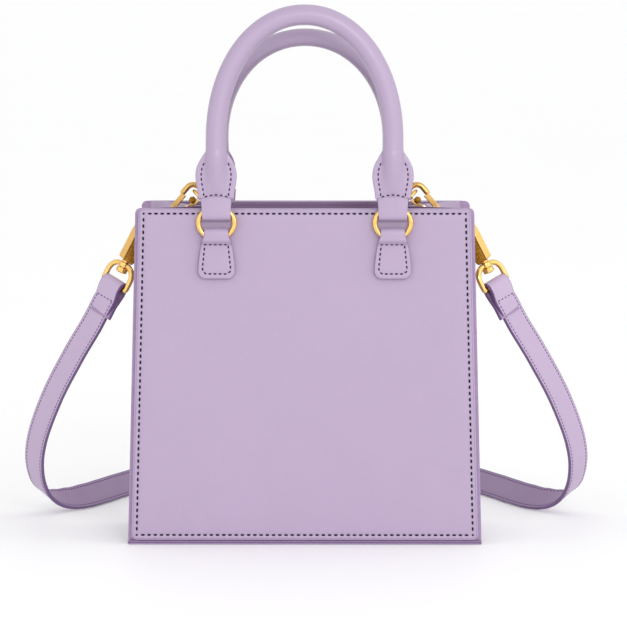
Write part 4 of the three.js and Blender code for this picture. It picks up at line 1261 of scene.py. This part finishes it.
def make_clasp(label, side):
    foot, kinds = clasp_body_parts()
    stem = stem_part()
    hook = hook_part()
    local_points, faces = join_parts([foot, stem, hook])
    kinds = kinds + [0] * (len(stem[1]) + len(hook[1]))
    points = in_clasp(local_points)
    collar = turned_part([(0, 1.9), (0.15, 2.2), (0.4, 2.45), (1.0, 2.45), (1.2, 2.2), (1.3, 1.8)],
                         SWIVEL - POST_DOWN * 0.3, POST_DOWN)
    neck = turned_part([(-1.5, POST_RADIUS), (6.6, POST_RADIUS)], SWIVEL, POST_DOWN)
    head_at = BOSS_START + LOOP_WIRE + CLEARANCE
    rim, tall = HEAD_RADIUS + 0.25, HEAD_HEIGHT + 0.9
    head = turned_part(
        [(0.0, 2.3), (0.12, rim - 0.3), (0.4, rim), (tall - 1.0, rim), (tall - 0.6, rim - 0.15),
         (tall - 0.2, rim - 0.8), (tall, rim - 1.9)],
        SWIVEL + POST_DOWN * head_at, POST_DOWN)
    turned, turned_faces = join_parts([collar, neck, head])
    all_points, all_faces = join_parts([(points, faces), (turned, turned_faces)])
    kinds = kinds + [2] * len(turned_faces)
    piece(f"clasp_{label}", on_side(all_points, side), all_faces, [brushed_gold, painted_dark_reflection_gold, gold],
          [f"clasp_{label}"], face_looks=kinds, sharp=24)


def make_gate(label, side):
    """Hinged lever of the hook, with a faceted stud to push it by."""
    tip_side = HOOK_SIDE - HOOK_RADIUS
    tip_along = PIVOT_ALONG + GATE_LENGTH
    corners = np.array([
        (PIVOT_ALONG, PIVOT_SIDE + GATE_WIDTH / 2),
        (tip_along, tip_side + GATE_WIDTH / 2),
        (tip_along, tip_side - GATE_WIDTH / 2),
        (PIVOT_ALONG, PIVOT_SIDE - LUG_RADIUS),
    ])
    middle = corners.mean(0)
    half = GATE_THICKNESS / 2
    rings = []
    for depth, shrink in ((-half, 0.3), (-half + 0.3, 0.0), (half - 0.3, 0.0), (half, 0.3)):
        flat = corners - unit(corners - middle) * shrink
        rings.append(np.column_stack([flat, np.full(4, depth)]))
    lever = np.concatenate(rings), ring_faces(4, 4)
    front = np.array([0.0, 0.0, 1.0])
    lug = turned_part(rounded_profile(GATE_THICKNESS, LUG_RADIUS, 0.3, 3),
                      (PIVOT_ALONG, PIVOT_SIDE, -half), front, 24)
    stud_at = (PIVOT_ALONG + STUD_SHARE * GATE_LENGTH, PIVOT_SIDE + STUD_IN, 0.0)
    stud_profile = [
        (0.0, STUD_RADIUS * 0.8),
        (half, STUD_RADIUS),
        (STUD_HEIGHT - 0.7, STUD_RADIUS + 0.15),
        (STUD_HEIGHT - 0.1, STUD_RADIUS - 0.5),
        (STUD_HEIGHT + 0.2, STUD_RADIUS - 1.0),
    ]
    stud = turned_part(stud_profile, stud_at, front, STUD_SIDES)
    points, faces = join_parts([lever, lug, stud])
    # The stud takes the gold darkened as a painted dark reflection.
    kinds = [0] * (len(lever[1]) + len(lug[1])) + [1] * len(stud[1])
    piece(f"clasp_gate_{label}", on_side(in_clasp(points), side), faces, [gold, painted_dark_reflection_gold],
          [f"clasp_gate_{label}"], body=f"gate_{label}", face_looks=kinds, sharp=20)


def make_strap_loop(label, side):
    half = (LOOP_INNER_WIDTH + LOOP_WIRE) / 2
    corner = half * 0.72
    foot = LOOP_WIRE / 2
    flat = []
    for i in range(22):
        angle = math.pi / 2 * i / 21
        flat.append((LOOP_START + corner - corner * math.cos(angle),
                     half - corner + corner * math.sin(angle)))
    end = LOOP_START + LOOP_HEIGHT
    for i in range(5):
        angle = math.pi / 2 * i / 4
        flat.append((end - foot + foot * math.sin(angle), half - foot + foot * math.cos(angle)))
    flat = np.array(flat)
    flat = np.concatenate([flat, flat[::-1] * [1, -1]])
    path = SWIVEL + flat[:, :1] * POST_DOWN + flat[:, 1:] * BAR_ACROSS
    wire = swept(path, LOOP_WIRE + LOOP_PLUMP, 18, BAR_OUT)
    radius = POST_RADIUS + BOSS_WALL
    boss = turned_part(rounded_profile(LOOP_WIRE, radius, 0.5), SWIVEL + POST_DOWN * BOSS_START, POST_DOWN)
    points, faces = join_parts([wire, boss])
    piece(f"strap_loop_{label}", on_side(points, side), faces, [gold], [f"strap_loop_{label}"])


CREASE_UP = unit(CREASE_TOP - CREASE_FOOT)
CREASE_OUT = unit(np.array([CREASE_UP[2], 0.0, -CREASE_UP[0]]))


def on_crease(out, up):
    point = CREASE_TOP + CREASE_OUT * out + CREASE_UP * up
    point[1] = CLASP_Y
    return point


def make_inner_ring(label, side):
    reach = HELD_WIRE - CREASE_TOP
    high = np.array([reach @ CREASE_OUT, reach @ CREASE_UP])
    low = np.array([2 * CLEARANCE + LEATHER + INNER_RING_WIRE / 2 + INNER_TAB_SLACK, INNER_RING_RISE])
    radius = float(np.linalg.norm(high - low)) / 2
    centre = on_crease(*((high + low) / 2))
    up = unit(on_crease(*high) - centre)
    angles = np.arange(72) * 2 * math.pi / 72
    path = centre + radius * (np.cos(angles)[:, None] * Y + np.sin(angles)[:, None] * up)
    points, faces = swept(path, INNER_RING_WIRE, 16, np.cross(Y, up))
    piece(f"inner_ring_{label}", on_side(points, side), faces, [gold], [f"inner_ring_{label}"])
    fold = INNER_RING_WIRE / 2 + INNER_TAB_SLACK + CLEARANCE + LEATHER / 2
    fold_up = low[1] + CLEARANCE
    base = fold_up - INNER_TAB_HEIGHT
    near = low[0] - fold
    rows = [(near + LEATHER + CLEARANCE, base), (near + LEATHER + CLEARANCE, base + INNER_TAB_HEIGHT * 0.4),
            (low[0] + fold, low[1] - INNER_RING_WIRE)]
    rows += [(low[0] + fold * math.cos(math.pi * k / 10), fold_up + fold * math.sin(math.pi * k / 10))
             for k in range(11)]
    rows.append((near, base))
    rows = np.array(rows)
    flat = rounded_path(rows, [2.0] * (len(rows) - 2), 2)
    ring = thicken(flat, LEATHER, 2)
    rings = []
    for across, shrink in ((-0.5, 0.25), (-0.46, 0.0), (0.46, 0.0), (0.5, 0.25)):
        middle = ring.mean(0)
        shape = ring - unit(ring - middle) * shrink * 0.3
        rings.append([on_crease(o, u) + Y * across * INNER_TAB_WIDTH for o, u in shape])
    size = len(ring)
    kinds = [0] * (size * 3) + [1, 1]
    piece(f"inner_tab_{label}", on_side(np.concatenate(rings), side), ring_faces(4, size),
          [body_leather, paint], [f"inner_tab_{label}"], face_looks=kinds)


for label, side in (("left", -1), ("right", 1)):
    make_clasp(label, side)
    make_gate(label, side)
    make_strap_loop(label, side)
    make_inner_ring(label, side)


# Shoulder strap: out and back are shares of its spread and reach, lift is a share of the bar's
# height, and turn is in degrees about its own line.
STRAP_ROUTE = [
    dict(out=0.755, back=-0.02, lift=0.815, turn=37),
    dict(out=0.84, back=0.055, lift=0.655, turn=35),
    dict(out=0.925, back=0.14, lift=0.478, turn=35),
    dict(out=0.988, back=0.222, lift=0.3, turn=38),
    dict(out=1.003, back=0.262, lift=0.205, turn=44),
    dict(out=0.995, back=0.3, lift=0.12, turn=56),
    dict(out=0.968, back=0.33, lift=0.062, turn=76),
    dict(out=0.932, back=0.357, lift=0.026, turn=101),
    dict(out=0.89, back=0.388, lift=0.006, turn=126),
    dict(out=0.84, back=0.435, lift=0.0, turn=144),
    dict(out=0.785, back=0.515, lift=0.0, turn=150),
    dict(out=0.722, back=0.63, lift=0.0, turn=150),
    dict(out=0.59, back=0.812, lift=0.0, turn=156),
    dict(out=0.34, back=0.955, lift=0.0, turn=166),
]
STRAP_FOLD = LOOP_WIRE / 2 + CLEARANCE + STRAP_THICKNESS / 2
# Index of the last point round the bar, and where the cross stitches are, from that point
STRAP_TURN_END = 21
STRAP_CROSS = 8.3


def strap_drop(across, out):
    return (abs(across[2]) * STRAP_WIDTH + abs(out[2]) * STRAP_THICKNESS) / 2


def centripetal(points, samples):
    """Points on a smooth curve through given points, samples to each span."""
    points = np.asarray(points, float)
    padded = np.concatenate([[2 * points[0] - points[1]], points, [2 * points[-1] - points[-2]]])
    found = []
    for i in range(len(points) - 1):
        p = padded[i:i + 4]
        gaps = np.maximum(np.linalg.norm(np.diff(p, axis=0), axis=1), 1e-6)
        t = np.concatenate([[0], np.cumsum(gaps ** 0.5)])
        last = i == len(points) - 2
        for k in range(samples + (1 if last else 0)):
            u = lerp(t[1], t[2], k / samples)
            a = [(t[j + 1] - u) / (t[j + 1] - t[j]) * p[j] + (u - t[j]) / (t[j + 1] - t[j]) * p[j + 1]
                 for j in range(3)]
            b = [(t[j + 2] - u) / (t[j + 2] - t[j]) * a[j] + (u - t[j]) / (t[j + 2] - t[j]) * a[j + 1]
                 for j in range(2)]
            found.append((t[2] - u) / (t[2] - t[1]) * b[0] + (u - t[1]) / (t[2] - t[1]) * b[1])
    return np.array(found)


def strap_line():
    """Middle line of the whole strap with its across and outward directions."""
    rows = []
    behind = -BAR_OUT
    tail_near = -(STRAP_THICKNESS + CLEARANCE) / 2
    rising = lerp(tail_near, -STRAP_FOLD, 0.55)
    tail = ((1.0, tail_near), (0.8, tail_near), (0.6, tail_near), (0.4, rising), (0.2, -STRAP_FOLD))
    for share, out in tail:
        rows.append((BAR_CENTRE + POST_DOWN * (STRAP_TAIL * share) + BAR_OUT * out, BAR_ACROSS, behind))
    for k in range(17):
        angle = math.pi - math.pi * k / 16
        outward = BAR_OUT * math.cos(angle) - POST_DOWN * math.sin(angle)
        rows.append((BAR_CENTRE + outward * STRAP_FOLD, BAR_ACROSS, outward))
    first = BAR_CENTRE + BAR_OUT * STRAP_FOLD
    second = first + POST_DOWN * STRAP_TAIL * 0.2
    joined = BAR_CENTRE + POST_DOWN * STRAP_TAIL * 0.6 + BAR_OUT * (STRAP_THICKNESS + CLEARANCE) / 2
    end_drop = strap_drop(BAR_ACROSS, BAR_OUT)
    ends = [p - Z * end_drop for p in (first, second, joined)]
    route = [np.array([-r["out"] * STRAP_SPREAD, r["back"] * STRAP_REACH, r["lift"] * BAR_CENTRE[2]])
             for r in STRAP_ROUTE]
    half = ends + route + [np.array([0.0, STRAP_REACH, 0.0])]
    turns = [math.degrees(LOOP_TURN)] * 3 + [r["turn"] for r in STRAP_ROUTE] + [180]
    mirror = [p * [-1, 1, 1] for p in reversed(half[:-1])]
    samples = 20
    curve = centripetal(half + mirror, samples)
    tangents = unit(np.gradient(curve, axis=0))
    # Turn angles follow a smooth curve through the table too.
    knots = [dict(at=i, turn=t) for i, t in enumerate(turns)]
    middle = (len(half) - 1) * samples
    for i in range(1, middle + 1):
        turn = math.radians(float(smooth_table(knots, ("at", "turn"), [i / samples])[0][0]))
        along = tangents[i]
        sideways = unit(np.cross(along, Y))
        facing = np.cross(along, sideways)
        across = sideways * math.cos(turn) + facing * math.sin(turn)
        out = np.cross(along, across)
        centre = curve[i].copy()
        centre[2] = max(centre[2], 0.0) + strap_drop(across, out)
        rows.append((centre, across, out))
    left = [np.array(v) for v in zip(*rows)]
    centres, across, out = (np.concatenate([v, (v[:-1] * MIRROR_X)[::-1]]) for v in left)
    return centres, unit(across), unit(out)


def strap_profile():
    """Half-outline of the strap's section: (across, out, kind of the face that follows)."""
    half, thick = STRAP_WIDTH / 2, STRAP_THICKNESS / 2
    line = half - STRAP_STITCH["inset"]
    rim = 0.6
    top = []
    for a in np.linspace(0, math.pi / 2, 4):
        top.append((-half + rim - rim * math.cos(a), thick - rim + rim * math.sin(a)))
    for x, dip in ((-line - 0.7, 0.0), (-line, 0.14), (-line + 0.7, 0.0), (-line * 0.5, -0.05), (0.0, -0.07),
                   (line * 0.5, -0.05), (line - 0.7, 0.0), (line, 0.14), (line + 0.7, 0.0)):
        top.append((x, thick - dip))
    for a in np.linspace(math.pi / 2, 0, 4):
        top.append((half - rim + rim * math.cos(a), thick - rim + rim * math.sin(a)))
    bottom = [(x, -y) for x, y in reversed(top)]
    return np.array(top + bottom), len(top)


def make_strap():
    centres, across, out = strap_line()
    profile, top_count = strap_profile()
    points = (centres[:, None] + profile[None, :, :1] * across[:, None] + profile[None, :, 1:] * out[:, None])
    size = len(profile)
    faces = ring_faces(len(centres), size)
    # Kind 0, the strap's outer face, is the lighter leather of painted light; kind 2, its inner face, the
    # darker leather of painted shade.
    row = []
    for i in range(size):
        if i < 3 or top_count - 4 <= i < top_count + 3 or i >= size - 4:
            row.append(1)
        elif i < top_count:
            row.append(0)
        else:
            row.append(2)
    kinds = row * (len(centres) - 1) + [1, 1]
    piece("shoulder_strap", points.reshape(-1, 3), faces, [strap_leather, dark_paint, painted_shade_strap_inside],
          ["shoulder_strap"], face_looks=kinds, sharp=50)
    parts = []
    edge = STRAP_WIDTH / 2 - STRAP_STITCH["inset"]
    length, width = STRAP_STITCH["length"], STRAP_STITCH["width"]
    reach = np.concatenate([[0], np.cumsum(np.linalg.norm(np.diff(centres, axis=0), axis=1))])
    reach -= reach[STRAP_TURN_END]
    for face, begin in ((1, STRAP_CROSS), (-1, STRAP_TAIL + 1.5)):
        low = int(np.argmax(reach >= begin))
        high = len(centres) - low
        for sign in (1, -1):
            line = centres + across * edge * sign + out * face * (STRAP_THICKNESS / 2 - 0.12)
            run = line[low:high]
            spots, ways = along_line(run, STRAP_STITCH["pitch"])
            nearest = np.array([int(np.argmin(((run - s) ** 2).sum(1))) for s in spots]) + low
            parts.append(stitch_mesh(spots, ways, out[nearest] * face, length, width, sides=5))
        if face > 0:
            for i in (low, high - 1):
                shares = (np.arange(-2, 3) * STRAP_STITCH["pitch"])[:, None]
                spots = centres[i] + across[i] * shares + out[i] * (STRAP_THICKNESS / 2 - 0.02)
                along, up = (np.tile(v, (len(spots), 1)) for v in (across[i], out[i]))
                parts.append(stitch_mesh(spots, along, up, length, width))
    points, faces = join_parts(parts)
    piece("shoulder_strap_stitches", points, faces, [strap_thread])


make_strap()


# Floor, light and camera


FLOOR_REACH = 80.0
FLOOR_COLOURS = [(0.3, (0.95, 0.95, 0.953)), (0.7, (0.96, 0.96, 0.963))]


def make_stage():
    mesh = bpy.data.meshes.new("floor")
    corners = [(x * FLOOR_REACH, y * FLOOR_REACH, 0) for x, y in ((-1, -1), (1, -1), (1, 1), (-1, 1))]
    mesh.from_pydata(corners, [], [(0, 1, 2, 3)])
    n = Nodes("floor_white")
    colours = n.ramp(n.noise(3.0), FLOOR_COLOURS)
    mesh.materials.append(n.set(colour=colours, roughness=0.55, specular=0.2))
    floor = bpy.data.objects.new("floor", mesh)
    bpy.context.scene.collection.objects.link(floor)


def area_light(name, place, target, size, power):
    data = bpy.data.lights.new(name, "AREA")
    data.shape = "RECTANGLE"
    data.size, data.size_y = size
    data.energy = power
    lamp = bpy.data.objects.new(name, data)
    lamp.location = place
    direction = np.array(target, float) - np.array(place, float)
    lamp.rotation_euler = Vector(direction).to_track_quat("-Z", "Y").to_euler()
    bpy.context.scene.collection.objects.link(lamp)


# Soft lobes of light round the bag: degrees from the front to the right, and up
DOME = [
    dict(azimuth=0, elevation=0, sharp=2, strength=0.9),
    dict(azimuth=70, elevation=20, sharp=4, strength=1.3),
    dict(azimuth=-70, elevation=20, sharp=4, strength=0.8),
    dict(azimuth=180, elevation=20, sharp=2, strength=0.7),
    dict(azimuth=0, elevation=90, sharp=8, strength=0.5),
]
DOME_BASE = 0.38


def make_world():
    """A pale studio: white where the camera looks past the floor, and soft lights around it."""
    world = bpy.data.worlds.new("studio")
    world.use_nodes = True
    tree = world.node_tree
    light = tree.nodes["Background"]
    way = tree.nodes.new("ShaderNodeTexCoord").outputs["Generated"]

    def maths(operation, first, second):
        node = tree.nodes.new("ShaderNodeMath")
        node.operation = operation
        for value, socket in zip((first, second), node.inputs):
            if isinstance(value, bpy.types.NodeSocket):
                tree.links.new(value, socket)
            else:
                socket.default_value = value
        return node.outputs[0]

    total = DOME_BASE
    for part in DOME:
        azimuth, elevation = math.radians(part["azimuth"]), math.radians(part["elevation"])
        dot = tree.nodes.new("ShaderNodeVectorMath")
        dot.operation = "DOT_PRODUCT"
        dot.inputs[1].default_value = (math.sin(azimuth) * math.cos(elevation),
                                       -math.cos(azimuth) * math.cos(elevation), math.sin(elevation))
        tree.links.new(way, dot.inputs[0])
        lobe = maths("POWER", maths("MAXIMUM", dot.outputs["Value"], 0.0), part["sharp"])
        total = maths("ADD", total, maths("MULTIPLY", lobe, part["strength"]))
    tree.links.new(total, light.inputs["Strength"])
    light.inputs["Color"].default_value = (1, 1, 1, 1)
    seen = tree.nodes.new("ShaderNodeBackground")
    seen.inputs["Color"].default_value = (1, 1, 1, 1)
    path = tree.nodes.new("ShaderNodeLightPath")
    mix = tree.nodes.new("ShaderNodeMixShader")
    tree.links.new(path.outputs["Is Camera Ray"], mix.inputs["Fac"])
    tree.links.new(light.outputs["Background"], mix.inputs[1])
    tree.links.new(seen.outputs["Background"], mix.inputs[2])
    tree.links.new(mix.outputs["Shader"], tree.nodes["World Output"].inputs["Surface"])
    bpy.context.scene.world = world
    bpy.context.scene.view_settings.view_transform = "Standard"


SENSOR_WIDTH = 36.0
PICTURE_PIXELS = 627.0
FOCAL_PIXELS = 3574.0
SHIFT_PIXELS = -1.1
CAMERA_PLACE = (17.0 * MM, -2041.2 * MM, 314.8 * MM)
CAMERA_PITCH = 0.0916
CAMERA_YAW = 0.0057


def make_camera():
    data = bpy.data.cameras.new("camera")
    data.sensor_width = SENSOR_WIDTH
    data.lens = SENSOR_WIDTH * FOCAL_PIXELS / PICTURE_PIXELS
    data.clip_end = 200.0
    data.shift_x = SHIFT_PIXELS / PICTURE_PIXELS
    camera = bpy.data.objects.new("camera", data)
    camera.location = CAMERA_PLACE
    camera.rotation_euler = (math.pi / 2 - CAMERA_PITCH, 0.0, CAMERA_YAW)
    bpy.context.scene.collection.objects.link(camera)
    bpy.context.scene.camera = camera


make_stage()
make_world()
area_light("key", (0.5, -2.3, 1.0), (0, 0, 0.15), (0.6, 0.5), 13)
make_camera()
